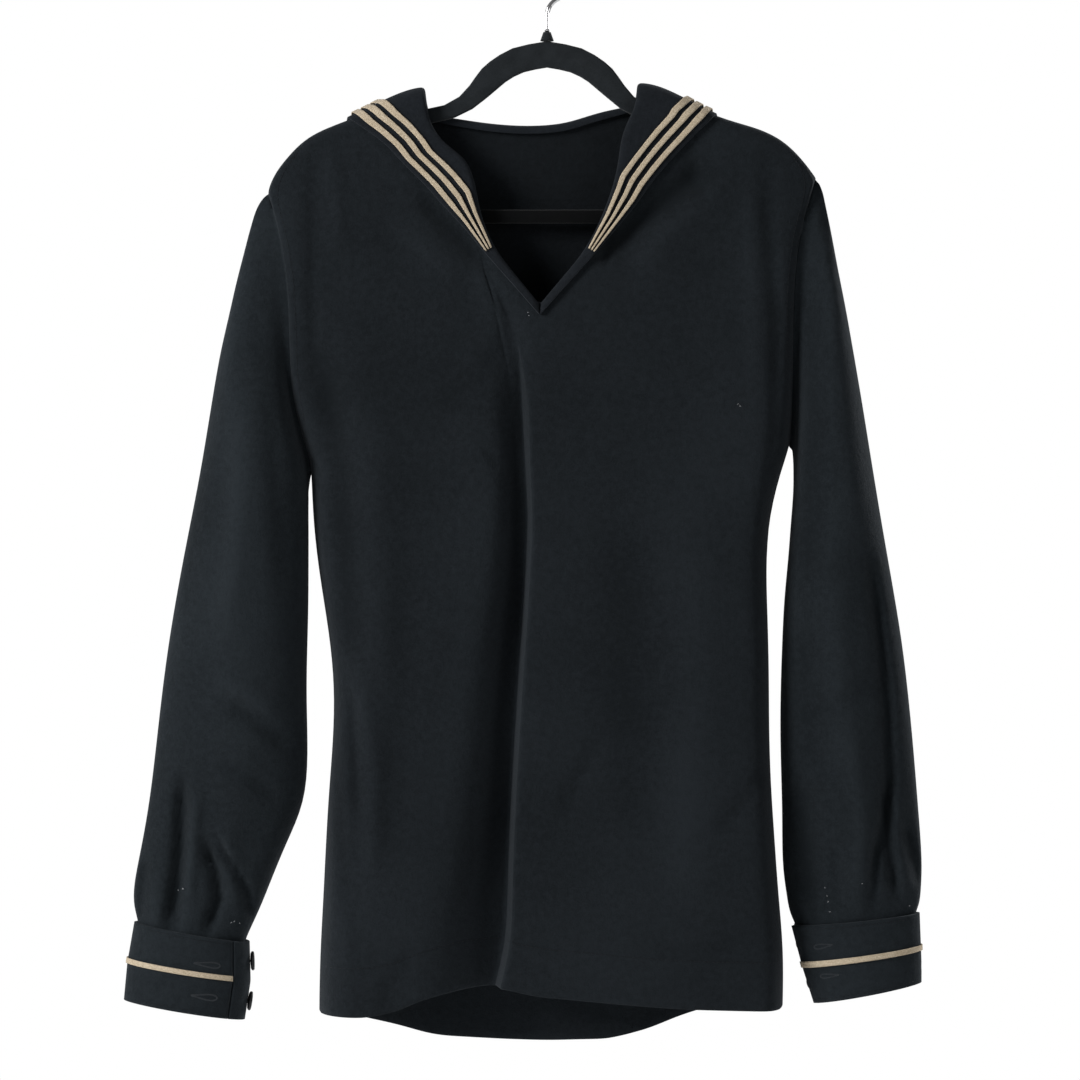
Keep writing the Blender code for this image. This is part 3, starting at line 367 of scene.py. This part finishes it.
def take_over(node, name, finish, levels=2, longest=None, rim=1.0, first_split=None):
    """A smooth copy of a plain node, with the node's place and its own mesh."""
    mesh = frame["nodes"][node].data.copy()
    mesh.name = name
    mesh.materials.clear()
    mesh.materials.append(finish)
    piece = bpy.data.objects.new(name, mesh)
    bpy.context.scene.collection.objects.link(piece)
    bm = bmesh.new()
    bm.from_mesh(mesh)
    bmesh.ops.remove_doubles(bm, verts=bm.verts, dist=SAME_POINT)
    bmesh.ops.join_triangles(bm, faces=bm.faces, angle_face_threshold=math.radians(50),
                             angle_shape_threshold=math.radians(75), cmp_seam=False, cmp_sharp=False)
    while first_split and split_long(bm, first_split):
        pass
    crease = bm.edges.layers.float.new("crease_edge")
    for edge in bm.edges:
        if len(edge.link_faces) == 2 and edge.calc_face_angle(0) > RIM_ANGLE:
            edge[crease] = rim
    bm.to_mesh(mesh)
    bm.free()
    if levels:
        smooth = piece.modifiers.new("smooth", "SUBSURF")
        smooth.levels = smooth.render_levels = levels
        apply_modifier(piece, "smooth")
    if longest:
        bm = bmesh.new()
        bm.from_mesh(piece.data)
        for _ in range(2):
            split_long(bm, longest)
        bm.to_mesh(piece.data)
        bm.free()
    shade_smooth(piece)
    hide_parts(node)
    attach(piece, "root")
    return piece


print("slots:", sorted(set(frame["slots"].values())))

# %% [markdown]
# ## Creases
# A crease is a short path on the cloth with a width and a depth. Points near the path sink
# or rise with a soft, bell-shaped profile that fades at both ends. Both faces of the wall
# move alike, so the cloth keeps its thickness. Paths are millimetres from the hook, as
# (across, up), and a positive depth sinks the cloth. Simulated cloth would fall in folds of
# its own; these are the ones that this garment has.

# %% Helpers for creases
# the hollow mark paints shade into creases and a highlight onto ridges
FULL_HOLLOW = 6.0  # the depth, in millimetres, at which wool is at its darkest
MOST_RAISED = -0.6  # the palest that a ridge gets, as a share of that
SIDE_FADE = 5.0  # creases fade within this distance, in millimetres, of the hanger's plane
END_FADE, END_DEPTH = 5, 0.25  # and towards their own ends
FAR_OFF = 1e9


def crease_field(x, z, creases):
    """How far each point sinks, in millimetres."""
    total = np.zeros(len(x))
    for path, width, depth in creases:
        path = np.array(path, float)
        runs = np.linalg.norm(np.diff(path, axis=0), axis=1)
        length = runs.sum()
        nearest = np.full(len(x), FAR_OFF)
        share = np.zeros(len(x))
        done = 0.0
        for (ax, az), (bx, bz), run in zip(path[:-1], path[1:], runs):
            t = np.clip(((x - ax) * (bx - ax) + (z - az) * (bz - az)) / run ** 2, 0, 1)
            distance = np.hypot(x - ax - (bx - ax) * t, z - az - (bz - az) * t)
            closer = distance < nearest
            nearest = np.where(closer, distance, nearest)
            share = np.where(closer, (done + run * t) / length, share)
            done += run
        ends = np.clip(np.minimum(share, 1 - share) * END_FADE + END_DEPTH, 0, 1)
        total += depth * ends * np.exp(-(nearest / width) ** 2)
    return total


def note_hollows(mesh, depth):
    """Add to the mesh's record of how hollow it is, its painted shade, 1 in the bottom of a deep crease.
    """
    hollow = mesh.attributes.get("hollow") or mesh.attributes.new("hollow", "FLOAT", "POINT")
    so_far = np.empty(len(mesh.vertices))
    hollow.data.foreach_get("value", so_far)
    hollow.data.foreach_set("value", np.clip(so_far + depth / FULL_HOLLOW, MOST_RAISED, 1.0))


def press_in(piece, creases, side):
    """Sink a piece's front (side -1) or back (side 1) along Y by its creases."""
    mesh = piece.data
    co = np.empty(len(mesh.vertices) * 3)
    mesh.vertices.foreach_get("co", co)
    co = co.reshape(-1, 3)
    depth = crease_field(co[:, 0] / MM, co[:, 2] / MM, creases)
    weight = np.clip(side * co[:, 1] / MM / SIDE_FADE, 0, 1)
    weight = weight * weight * (3 - 2 * weight)
    co[:, 1] -= side * depth * MM * weight
    note_hollows(mesh, depth * weight)
    mesh.vertices.foreach_set("co", co.ravel())
    mesh.update()
    print(piece.name, "creases", len(creases), "deepest", round(float(abs(depth).max()), 1), "mm")


# %% [markdown]
# ## Seams drawn shut
# The plain pieces stand a third of a millimetre apart. Thread pulls the real ones tight,
# so points that lie close to the neighbouring piece are drawn up to it and a little past.

# %% Helpers that shut a seam
SEAM_NEAR, SEAM_REACH, SEAM_OVER = 1.0 * MM, 3.0 * MM, 0.4 * MM
TOUCHING = 1e-7


def surface_of(piece):
    return BVHTree.FromObject(piece, bpy.context.evaluated_depsgraph_get())


def draw_shut(piece, neighbours):
    """Draw the points of a piece that lie near a neighbour up to it, and others less."""
    moved = 0
    for neighbour in neighbours:
        tree = surface_of(neighbour)
        for vertex in piece.data.vertices:
            place, _, _, distance = tree.find_nearest(vertex.co, SEAM_REACH)
            if place is None or distance < TOUCHING:
                continue
            share = min(1.0, max(0.0, (SEAM_REACH - distance) / (SEAM_REACH - SEAM_NEAR)))
            step = (min(distance, SEAM_NEAR) + SEAM_OVER) * share
            vertex.co += (place - vertex.co).normalized() * step
            moved += 1
    piece.data.update()
    print(piece.name, "seam points drawn up:", moved)


# %% [markdown]
# ## Front and back
# Each is one panel, cut from shoulder to hem. The long fold below the neck is already in
# the plain model. What is left are the pulls that run from the shoulders to the V, the
# slack beside the armholes and the soft waves towards the hem. The inside of the back
# shows through the neck, and it is marked to take painted shade, darker than the outside.

# %% Creases of the front
FRONT_CREASES = [
    ([(124, -164), (108, -180), (88, -196), (64, -214), (46, -232)], 10, 6.0),
    ([(140, -180), (118, -200), (96, -216), (72, -244)], 10, -2.6),
    ([(-100, -186), (-84, -204), (-64, -224), (-46, -246)], 8, 4.6),
    ([(-124, -205), (-96, -228), (-66, -254)], 9, -2.0),
    ([(48, -216), (45, -242)], 6, 3.0),
    ([(-100, -165), (-96, -260), (-104, -380), (-108, -500)], 42, 3.0),
    ([(122, -160), (128, -260)], 30, 1.6),
    ([(-182, -157), (-182, -240), (-181, -324)], 5, 1.6),
    ([(-170, -152), (-164, -186), (-162, -230)], 7, -1.6),
    ([(-174, -312), (-166, -360), (-158, -408), (-152, -503), (-150, -560)], 11, 4.5),
    ([(-130, -360), (-132, -420), (-126, -520), (-120, -620)], 14, -2.0),
    ([(171, -160), (171, -193), (174, -241), (178, -289), (176, -372), (170, -415)], 6, 2.8),
    ([(158, -175), (159, -240), (162, -330)], 8, -1.4),
    ([(112, -154), (116, -176), (124, -200)], 7, 1.6),
    ([(-30, -300), (-52, -330), (-80, -352)], 8, 1.4),
    ([(-114, -348), (-60, -353), (-18, -352)], 5, 0.7),
    ([(10, -360), (34, -348), (77, -345), (122, -352)], 5, 0.7),
    ([(-47, -386), (-37, -401)], 5, 1.8),
    ([(42, -608), (24, -640), (8, -670)], 7, 1.8),
    ([(168, -630), (150, -660), (128, -684)], 8, 2.0),
    ([(-147, -554), (-133, -636), (-136, -712)], 9, -2.4),
    ([(-151, -572), (-147, -666)], 5, 2.6),
    ([(-163, -621), (-155, -742)], 6, 2.2),
    ([(60, -420), (66, -560), (74, -700)], 22, 2.8),
    ([(112, -430), (118, -590), (110, -760)], 20, -2.6),
    ([(-110, -470), (-118, -600), (-124, -700)], 14, 2.2),
    ([(150, -760), (120, -772), (80, -770)], 9, 1.4),
    ([(-100, -770), (-120, -800), (-128, -840)], 9, 1.8),
]

# %% The front
front = take_over("front", "front_wool", body_wool, 2, 0.005, rim=0.6)
press_in(front, FRONT_CREASES, -1)

# %% Creases of the back
BACK_CREASES = [
    ([(-60, -380), (-66, -470), (-80, -620), (-86, -780)], 9, 2.7),
    ([(58, -372), (64, -480), (80, -640), (86, -790)], 9, 2.7),
    ([(-130, -420), (-126, -560), (-134, -700)], 12, 3.0),
    ([(126, -430), (122, -570), (130, -720)], 12, 3.0),
    ([(-20, -520), (-14, -660), (-18, -800)], 14, -2.7),
    ([(30, -500), (36, -640), (34, -780)], 12, -2.3),
    ([(-186, -170), (-182, -240), (-180, -320)], 5, 2.7),
    ([(178, -165), (176, -240), (174, -330)], 5, 2.7),
    ([(-110, -372), (-60, -368), (-10, -374)], 6, 1.5),
    ([(20, -372), (70, -366), (112, -374)], 6, 1.5),
    ([(-165, -560), (-158, -660)], 5, 2.7),
    ([(160, -600), (152, -690)], 5, 2.7),
]

# %% A helper that marks painted shade on the inside
# the inside mark is painted shade, seen through the neck
INSIDE_FROM, INSIDE_TO = -0.70, -0.40  # heights between which the mark grows
RIM_OFF, FACING_GROWS = 0.25, 2.5  # rims, which face sideways, stay unmarked


def paint_inside_shade(piece, side):
    """Write 1, painted shade, on a wall's inner face, towards front (-1) or back (1), and less near the
    hem.
    """
    normals, places = (np.empty(len(piece.data.vertices) * 3) for _ in range(2))
    piece.data.vertices.foreach_get("normal", normals)
    piece.data.vertices.foreach_get("co", places)
    facing = normals.reshape(-1, 3)[:, 1] * side
    height = places.reshape(-1, 3)[:, 2]
    shade = np.clip((height - INSIDE_FROM) / (INSIDE_TO - INSIDE_FROM), 0, 1)
    inside = np.clip(facing * FACING_GROWS - RIM_OFF, 0, 1) * shade
    piece.data.attributes.new("inside", "FLOAT", "POINT").data.foreach_set("value", inside)


# %% The back
back = take_over("back", "back_wool", body_wool, 2, 0.006, rim=0.6)
press_in(back, BACK_CREASES, 1)
paint_inside_shade(back, -1)

# %% [markdown]
# ## Sleeves
# A sleeve hangs as a flattened tube. Its folds run down its length, it wrinkles across at
# the elbow, and it is pleated where it goes into the cuff. The back of the left sleeve
# isn't seen, so it gets the right one's creases, mirrored and slanted as the sleeve hangs.

# %% Creases of the sleeves
LEFT_SLEEVE_CREASES = [
    ([(-224, -279), (-217, -324), (-210, -396), (-204, -455), (-202, -502)], 10, 2.6),
    ([(-250, -262), (-244, -330), (-238, -400), (-240, -470), (-250, -540)], 11, -2.6),
    ([(-262, -330), (-270, -420), (-282, -520)], 10, 2.0),
    ([(-246, -582), (-222, -596), (-198, -618)], 8, 3.2),
    ([(-256, -560), (-232, -572), (-206, -590)], 8, -2.0),
    ([(-250, -628), (-228, -640), (-208, -660)], 7, 1.8),
    ([(-282, -640), (-284, -690), (-288, -730), (-294, -760)], 5, 8.0),
    ([(-271, -650), (-274, -700), (-278, -742)], 5, -3.2),
    ([(-264, -690), (-257, -712), (-255, -732), (-264, -760)], 4.5, 7.5),
    ([(-250, -680), (-243, -706), (-242, -742)], 5, -2.2),
    ([(-256, -686), (-243, -708), (-233, -728), (-230, -750)], 3.2, 4.6),
    ([(-311, -706), (-317, -752)], 4, 2.6),
    ([(-300, -716), (-304, -756)], 4, -1.6),
    ([(-277, -736), (-281, -764)], 3.5, -1.6),
]
RIGHT_SLEEVE_CREASES = [
    ([(250, -470), (262, -573), (265, -640), (261, -671), (254, -700), (251, -742)], 4.5, 6.5),
    ([(216, -190), (217, -216)], 4, 2.0),
    ([(204, -230), (206, -330), (206, -430), (200, -500)], 11, 4.4),
    ([(228, -250), (234, -350), (240, -450)], 12, -2.6),
    ([(222, -480), (226, -560), (232, -640)], 12, -2.2),
    ([(198, -520), (202, -580), (208, -640)], 10, 2.6),
    ([(194, -640), (200, -700), (206, -738)], 12, 4.6),
    ([(236, -600), (244, -680), (240, -735)], 8, -2.4),
    ([(264, -640), (263, -690), (270, -732)], 3.8, 6.0),
    ([(270, -650), (273, -700), (280, -730)], 5, -1.8),
    ([(277, -676), (286, -706), (290, -728)], 4.5, 4.4),
    ([(222, -690), (224, -742)], 4, 1.6),
    ([(262, -560), (236, -580), (204, -588)], 9, 1.6),
]
SLEEVE_BACK_CREASES = [
    ([(240, -280), (250, -400), (262, -520)], 8, 2.0),
    ([(212, -330), (214, -450), (220, -560)], 8, -1.4),
    ([(200, -590), (226, -604), (256, -600)], 7, 1.8),
    ([(246, -650), (250, -700), (244, -742)], 5, 2.0),
    ([(226, -690), (228, -740)], 4, 1.6),
    ([(270, -690), (276, -738)], 4, 1.6),
]


LEAN_FROM, LEAN_RUN, LEAN = -280, 460, 30  # where the slant begins, its height and width


def mirrored(creases):
    """The same creases on the other sleeve, moved outwards as they go down."""
    return [([(-x + LEAN * (z - LEAN_FROM) / LEAN_RUN, z) for x, z in path], width, depth)
            for path, width, depth in creases]


# %% The sleeves
sleeve_left = take_over("sleeve_left", "sleeve_left_wool", sleeve_wool, 2, 0.0045, rim=0.7)
press_in(sleeve_left, LEFT_SLEEVE_CREASES, -1)
press_in(sleeve_left, mirrored(SLEEVE_BACK_CREASES), 1)
sleeve_right = take_over("sleeve_right", "sleeve_right_wool", sleeve_wool, 2, 0.0045, rim=0.7)
press_in(sleeve_right, RIGHT_SLEEVE_CREASES, -1)
press_in(sleeve_right, SLEEVE_BACK_CREASES, 1)
for sleeve in (sleeve_left, sleeve_right):
    draw_shut(sleeve, (front, back))

# %% [markdown]
# ## Collar and cuffs
# Both are cut double and pressed, so they are smoother than the body and get no creases.
# The collar turns over a roll at the neck and lies flat behind as a square flap.

# %% Collar and cuffs
collar = take_over("collar", "collar_wool", collar_wool, 2, 0.010, rim=0.6)
cuff_left = take_over("cuff_left", "cuff_left_wool", sleeve_wool, 1, first_split=0.006)
cuff_right = take_over("cuff_right", "cuff_right_wool", sleeve_wool, 1, first_split=0.006)
print("collar and cuffs dressed")

# %% [markdown]
# Three rows of tape run round the collar and one round each cuff. They keep the plain
# model's mitred corners. On the flap behind, the middle and inner rows are lowered a
# little at their corners, so that they run level with the outer one.

# %% Tapes
FLAP_BEHIND, FLAP_BELOW, FLAP_BLEND = 20, -290, 30
CORNERS = {"middle": (108, 152, 2.7), "inner": (106, 144, 5.7)}  # from, to across; how far down


def level_corners(piece, start, end, lower):
    """Lower a row's corners on the flap behind."""
    for vertex in piece.data.vertices:
        x, y, z = vertex.co / MM
        if y > FLAP_BEHIND and z < FLAP_BELOW:
            share = min(1.0, max(0.0, (abs(x) - start) / (end - start)))
            vertex.co.z -= lower * share * min(1.0, (FLAP_BELOW - z) / FLAP_BLEND) * MM


for row in ("outer", "middle", "inner"):
    woven = take_over("collar_tape_" + row, "collar_tape_%s_woven" % row, tape, 1, first_split=0.0045)
    if row in CORNERS:
        level_corners(woven, *CORNERS[row])
for side in ("left", "right"):
    take_over("cuff_tape_" + side, "cuff_tape_%s_woven" % side, tape, 2)
print("tapes laid")

# %% [markdown]
# ## Sewing
# A stitch is a short, low capsule of thread that lies on the cloth. Rows of them follow
# the hems, armholes and cuffs at an even distance from the edge, which is found by
# looking along Y until the cloth begins. Real geometry is used, not a painted line,
# because a row catches the light along its upper side.

# %% Helpers that find paths on the cloth
SEARCH = 160  # steps of a millimetre
BODY_HALF = 100
SETTLE_TIMES = 3


def look(tree, x, z, side):
    """Where a look along Y from the front (-1) or the back (1) first meets the cloth."""
    place, normal, _, _ = tree.ray_cast(Vector((x * MM, side, z * MM)), Vector((0, -side, 0)))
    return place, normal


def walk(path, step):
    """Even steps along a path, each with its direction."""
    steps, ahead = [], 0.0
    for (ax, az), (bx, bz) in zip(path[:-1], path[1:]):
        run = math.hypot(bx - ax, bz - az)
        while ahead < run:
            share = ahead / run
            steps.append((ax + (bx - ax) * share, az + (bz - az) * share,
                          (bx - ax) / run, (bz - az) / run))
            ahead += step
        ahead -= run
    return steps


def edge_beside(tree, side, start, inward, levels, inset):
    """A path at a distance inside an upright edge, found by steps inwards at each level."""
    path = []
    for z in levels:
        x = start
        while look(tree, x, z, side)[0] is None and abs(x) > BODY_HALF:
            x += inward
        path.append((x + inward * inset, z))
    return settle(path)


def edge_along(tree, side, start, inward, places, inset):
    """The same for an edge that runs across, found by steps up or down at each place."""
    path = []
    for x in places:
        z = start
        for _ in range(SEARCH):
            if look(tree, x, z, side)[0] is not None:
                path.append((x, z + inward * inset))
                break
            z += inward
    return settle(path)


def settle(path):
    """The path with its small jumps evened out."""
    for _ in range(SETTLE_TIMES):
        path = [path[0]] + [((a[0] + 2 * b[0] + c[0]) / 4, (a[1] + 2 * b[1] + c[1]) / 4)
                            for a, b, c in zip(path, path[1:], path[2:])] + [path[-1]]
    return path


# %% Helpers that make stitches
SIDES = 6
RING = [(math.cos(math.tau * k / SIDES), math.sin(math.tau * k / SIDES)) for k in range(SIDES)]
CAPSULE = [(-0.5, 0.35), (-0.36, 0.85), (0.0, 1.0), (0.36, 0.85), (0.5, 0.35)]  # place along, girth
FLATTENED = 0.8


def add_stitch(points, faces, place, along, normal, length, thick, lift=0.35):
    """One capsule, sunk into the cloth by part of its thickness."""
    normal = normal.normalized()
    along = (along - normal * along.dot(normal)).normalized()
    across = normal.cross(along)
    first = len(points)
    for share, girth in CAPSULE:
        for right, up in RING:
            points.append(place + along * (share * length) + across * (right * girth * thick)
                          + normal * (thick * lift + up * girth * thick * FLATTENED))
    for ring in range(len(CAPSULE) - 1):
        for k in range(SIDES):
            a, b = first + ring * SIDES + k, first + ring * SIDES + (k + 1) % SIDES
            faces.append((a, b, b + SIDES, a + SIDES))
    last = first + (len(CAPSULE) - 1) * SIDES
    faces.append(tuple(first + k for k in reversed(range(SIDES))))
    faces.append(tuple(last + k for k in range(SIDES)))


def thread_piece(name, points, faces, finish):
    """A piece made of stitches, with its faces outwards."""
    mesh = bpy.data.meshes.new(name)
    bm = bmesh.new()
    mesh.from_pydata(points, [], faces)
    bm.from_mesh(mesh)
    bmesh.ops.recalc_face_normals(bm, faces=bm.faces)
    bm.to_mesh(mesh)
    bm.free()
    mesh.materials.append(finish)
    piece = bpy.data.objects.new(name, mesh)
    bpy.context.scene.collection.objects.link(piece)
    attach(piece, "root")
    return piece


def sew(name, piece, side, rows, finish, length=2.6, gap=1.0, thick=0.28, across=False):
    """One mesh of stitches on a piece: end to end along each path, or set across it."""
    tree = surface_of(piece)
    points, faces = [], []
    for row in rows:
        for x, z, dx, dz in walk(row, gap if across else length + gap):
            place, normal = look(tree, x, z, side)
            if place is None:
                continue
            along = Vector((-dz, 0, dx)) if across else Vector((dx, 0, dz))
            add_stitch(points, faces, place, along, normal, length * MM, thick * MM)
    shade_smooth(thread_piece(name, points, faces, finish))
    print(name, "stitches", len(points) // (SIDES * len(CAPSULE)))


# %% Rows of stitches
HEM_INSET, ARMHOLE_INSET, CUFF_INSET = 37, 5, 2.5
HEM_PLACES = range(-174, 190, 6)
LEFT_ARMHOLE, RIGHT_ARMHOLE = range(-156, -372, -8), range(-156, -350, -8)
BESIDE, CUFF_ABOVE, CUFF_BELOW = 260, -740, -870  # clear of the cloth, where a search starts

for name, panel, side, hem_below in (("front_stitches", front, -1, -880),
                                     ("back_stitches", back, 1, -890)):
    tree = surface_of(panel)
    sew(name, panel, side, [
        edge_along(tree, side, hem_below, 1, HEM_PLACES, HEM_INSET),
        edge_beside(tree, side, -BESIDE, 1, LEFT_ARMHOLE, ARMHOLE_INSET),
        edge_beside(tree, side, BESIDE, -1, RIGHT_ARMHOLE, ARMHOLE_INSET),
    ], thread)
for name, cuff, places in (("cuff_left", cuff_left, range(-316, -244, 3)),
                           ("cuff_right", cuff_right, range(208, 288, 3))):
    tree = surface_of(cuff)
    for where, side in (("front", -1), ("back", 1)):
        sew("%s_stitches_%s" % (name, where), cuff, side, [
            edge_along(tree, side, CUFF_ABOVE, -1, places, CUFF_INSET),
            edge_along(tree, side, CUFF_BELOW, 1, places, CUFF_INSET),
        ], thread, length=2.2, gap=0.9, thick=0.24)

# %% [markdown]
# A buttonhole is worked with a paler thread, in stitches set across its outline. The
# outline is a drop: narrow at the tail, round at the eye, where the button's thread sits.

# %% Buttonholes
EYE_TURNS = 32


def drop(cx, cz, length, height, turn):
    """A buttonhole's outline: a drop whose round eye lies towards its turn, in degrees."""
    outline = []
    right, up = math.cos(math.radians(turn)), math.sin(math.radians(turn))
    for k in range(EYE_TURNS + 1):
        angle = math.tau * k / EYE_TURNS
        along = math.cos(angle)
        half = math.sin(angle) * (0.18 + 0.82 * ((1 + along) / 2) ** 1.4)
        u, v = along * length / 2, half * height / 2 * 1.25
        outline.append((cx + u * right - v * up, cz + u * up + v * right))
    return outline


LEFT_HOLES = [drop(-263.0, -784.5, 20, 5.4, -8), drop(-265.5, -809.5, 20, 5.8, -8)]
RIGHT_HOLES = [drop(214.0, -770.5, 14, 4.4, 190), drop(219.0, -793.5, 14, 4.0, 188)]
sew("buttonholes_left", cuff_left, -1, LEFT_HOLES, buttonhole_thread,
    length=1.5, gap=0.62, thick=0.26, across=True)
sew("buttonholes_right", cuff_right, -1, RIGHT_HOLES, buttonhole_thread,
    length=1.3, gap=0.62, thick=0.24, across=True)

# %% [markdown]
# A tack of close stitches holds the point of the neck. White lint has settled on the
# chest and above the cuffs, a fibre here and there.

# %% Tack and lint
NECK_X, NECK_Z = -5.4, -271.0
TACK_HALF, TACK_STEP, TACK_COUNT = 2.2, 0.9, 7
tack = [[(NECK_X - TACK_HALF, NECK_Z - TACK_STEP * k), (NECK_X + TACK_HALF, NECK_Z - TACK_STEP * k)]
        for k in range(TACK_COUNT)]
sew("neck_tack", front, -1, tack, thread, length=4.0, thick=0.42)

FIBRE, FIBRE_TURN = 0.9, 2.4
FRONT_LINT = [(-14.82, -279.96), (-14.04, -282.30), (148.98, -352.50), (147.42, -350.94)]
LEFT_LINT = [(-281.58, -726.12), (-282.36, -726.12), (-286.26, -727.68),
             (-244.92, -752.64), (-242.58, -751.86), (-238.68, -753.42)]
RIGHT_LINT = [(243.36, -721.44), (215.28, -725.34), (216.84, -731.58),
              (217.62, -736.26), (219.18, -744.06), (281.58, -740.16)]


def fibres(places):
    """Short paths at the given places, each turned its own way."""
    paths = []
    for number, (x, z) in enumerate(places):
        angle = number * FIBRE_TURN
        paths.append([(x, z), (x + FIBRE * math.cos(angle), z + FIBRE * math.sin(angle))])
    return paths


sew("front_lint", front, -1, fibres(FRONT_LINT), lint, length=1.2, thick=0.15)
sew("sleeve_left_lint", sleeve_left, -1, fibres(LEFT_LINT), lint, length=1.3, thick=0.2)
sew("sleeve_right_lint", sleeve_right, -1, fibres(RIGHT_LINT), lint, length=1.2, thick=0.15)

# %% [markdown]
# ## Buttons
# A button is turned from a profile with a raised rim, drilled four times and held by a
# cross of thread that runs down to the cuff. It takes its place, face and size from the
# plain one.

# %% Helpers that turn and drill a button
PROFILE = [(0.0, 0.10), (0.45, 0.12), (0.66, 0.20), (0.74, 0.46), (0.84, 0.50), (0.95, 0.42),
           (1.0, 0.18), (0.97, -0.16), (0.80, -0.42), (0.40, -0.50), (0.0, -0.50)]
TURNS = 40
HOLES = ((1, 1), (-1, 1), (-1, -1), (1, -1))
HOLE_OUT, HOLE_RADIUS, HOLE_SIDES = 0.24, 0.11, 14  # the first two are shares of the radius
CLEAR_OF_CUFF, MOST_MOVED = 0.2 * MM, 1.5 * MM


def plain_shape(node, cuff):
    """A plain button's centre, face, thickness and radius, and the cuff's place and distance."""
    co = np.array([vertex.co for vertex in frame["nodes"][node].data.vertices])
    centre = Vector((co.min(axis=0) + co.max(axis=0)) / 2)
    face = Vector(np.linalg.eigh(np.cov((co - co.mean(axis=0)).T))[1][:, 0])
    place, _, _, distance = surface_of(cuff).find_nearest(centre)
    if face.dot(centre - place) < 0:
        face = -face
    flat = co - np.array(centre)
    depth = flat @ np.array(face)
    thick = float(depth.max() - depth.min())
    radius = float(np.sqrt(np.maximum((flat ** 2).sum(axis=1) - depth ** 2, 0)).max())
    return centre, face, thick, radius, place, distance


def turn(name, centre, face, u, v, thick, radius):
    """A piece turned from the profile round the button's middle line."""
    bm = bmesh.new()
    rings = []
    for share, level in PROFILE:
        middle = centre + face * (level * thick)
        angles = [math.tau * k / TURNS for k in range(TURNS)] if share else [0.0]
        rings.append([bm.verts.new(middle + (u * math.cos(angle) + v * math.sin(angle))
                                   * (share * radius)) for angle in angles])
    for upper, lower in zip(rings[:-1], rings[1:]):
        for k in range(TURNS):
            n = (k + 1) % TURNS
            if len(upper) == 1:
                bm.faces.new((upper[0], lower[k], lower[n]))
            elif len(lower) == 1:
                bm.faces.new((upper[k], lower[0], upper[n]))
            else:
                bm.faces.new((upper[k], lower[k], lower[n], upper[n]))
    bmesh.ops.recalc_face_normals(bm, faces=bm.faces)
    mesh = bpy.data.meshes.new(name)
    bm.to_mesh(mesh)
    bm.free()
    mesh.materials.append(horn)
    button = bpy.data.objects.new(name, mesh)
    bpy.context.scene.collection.objects.link(button)
    return button


def drill(button, hole, face, thick, radius):
    bpy.ops.mesh.primitive_cylinder_add(vertices=HOLE_SIDES, radius=HOLE_RADIUS * radius,
                                        depth=3 * thick, location=hole)
    bit = bpy.context.active_object
    bit.rotation_euler = face.to_track_quat("Z", "Y").to_euler()
    bpy.context.view_layer.update()
    cut = button.modifiers.new("drill", "BOOLEAN")
    cut.operation, cut.object, cut.solver = "DIFFERENCE", bit, "EXACT"
    apply_modifier(button, "drill")
    bpy.data.objects.remove(bit)


# %% Buttons
CROSS_LONG, CROSS_THICK, CROSS_HIGH = 1.15, 0.42 * MM, 0.12
SHANK_PAST, SHANK_THICK = 1.2 * MM, 0.9 * MM


def make_button(node, cuff):
    """A drilled button with its thread, in place of a plain one."""
    centre, face, thick, radius, place, distance = plain_shape(node, cuff)
    centre = centre - face * max(0.0, min(distance - thick / 2 - CLEAR_OF_CUFF, MOST_MOVED))
    u = face.orthogonal().normalized()
    v = face.cross(u)
    button = turn(node + "_turned", centre, face, u, v, thick, radius)
    holes = [centre + (u * a + v * b) * (HOLE_OUT * radius) for a, b in HOLES]
    for hole in holes:
        drill(button, hole, face, thick, radius)
    shade_smooth(button)
    button.data.set_sharp_from_angle(angle=math.radians(38))
    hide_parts(node)
    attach(button, "root")

    points, faces = [], []
    for a, b in ((0, 2), (1, 3)):
        middle, across = (holes[a] + holes[b]) / 2, holes[b] - holes[a]
        add_stitch(points, faces, middle + face * (CROSS_HIGH * thick), across, face,
                   across.length * CROSS_LONG, CROSS_THICK)
    add_stitch(points, faces, (centre + place) / 2, face, u, max(distance, thick) + SHANK_PAST,
               SHANK_THICK, 0.0)
    thread_piece(node + "_thread", points, faces, thread)
    print(node, "radius", round(radius / MM, 1), "mm, thick", round(thick / MM, 1), "mm")


for side, cuff in (("left", cuff_left), ("right", cuff_right)):
    for level in ("upper", "lower"):
        make_button("button_%s_%s" % (side, level), cuff)

# %% [markdown]
# ## Hanger and hook
# The hanger is a flat board with rounded edges, covered with flock. A bevel rounds it,
# because smoothing would thin its narrow bars. The hook is bright bent wire.

# %% Hanger and hook
hanger = take_over("hanger", "hanger_flocked", flock, 0)
rounding = hanger.modifiers.new("rounding", "BEVEL")
rounding.width, rounding.segments, rounding.limit_method = 1.6 * MM, 3, "ANGLE"
rounding.angle_limit = math.radians(40)
apply_modifier(hanger, "rounding")
shade_smooth(hanger)
take_over("hook_socket", "hook_socket_flocked", flock, 2)
take_over("hook", "hook_wire", steel, 2)
print("hanger and hook dressed")
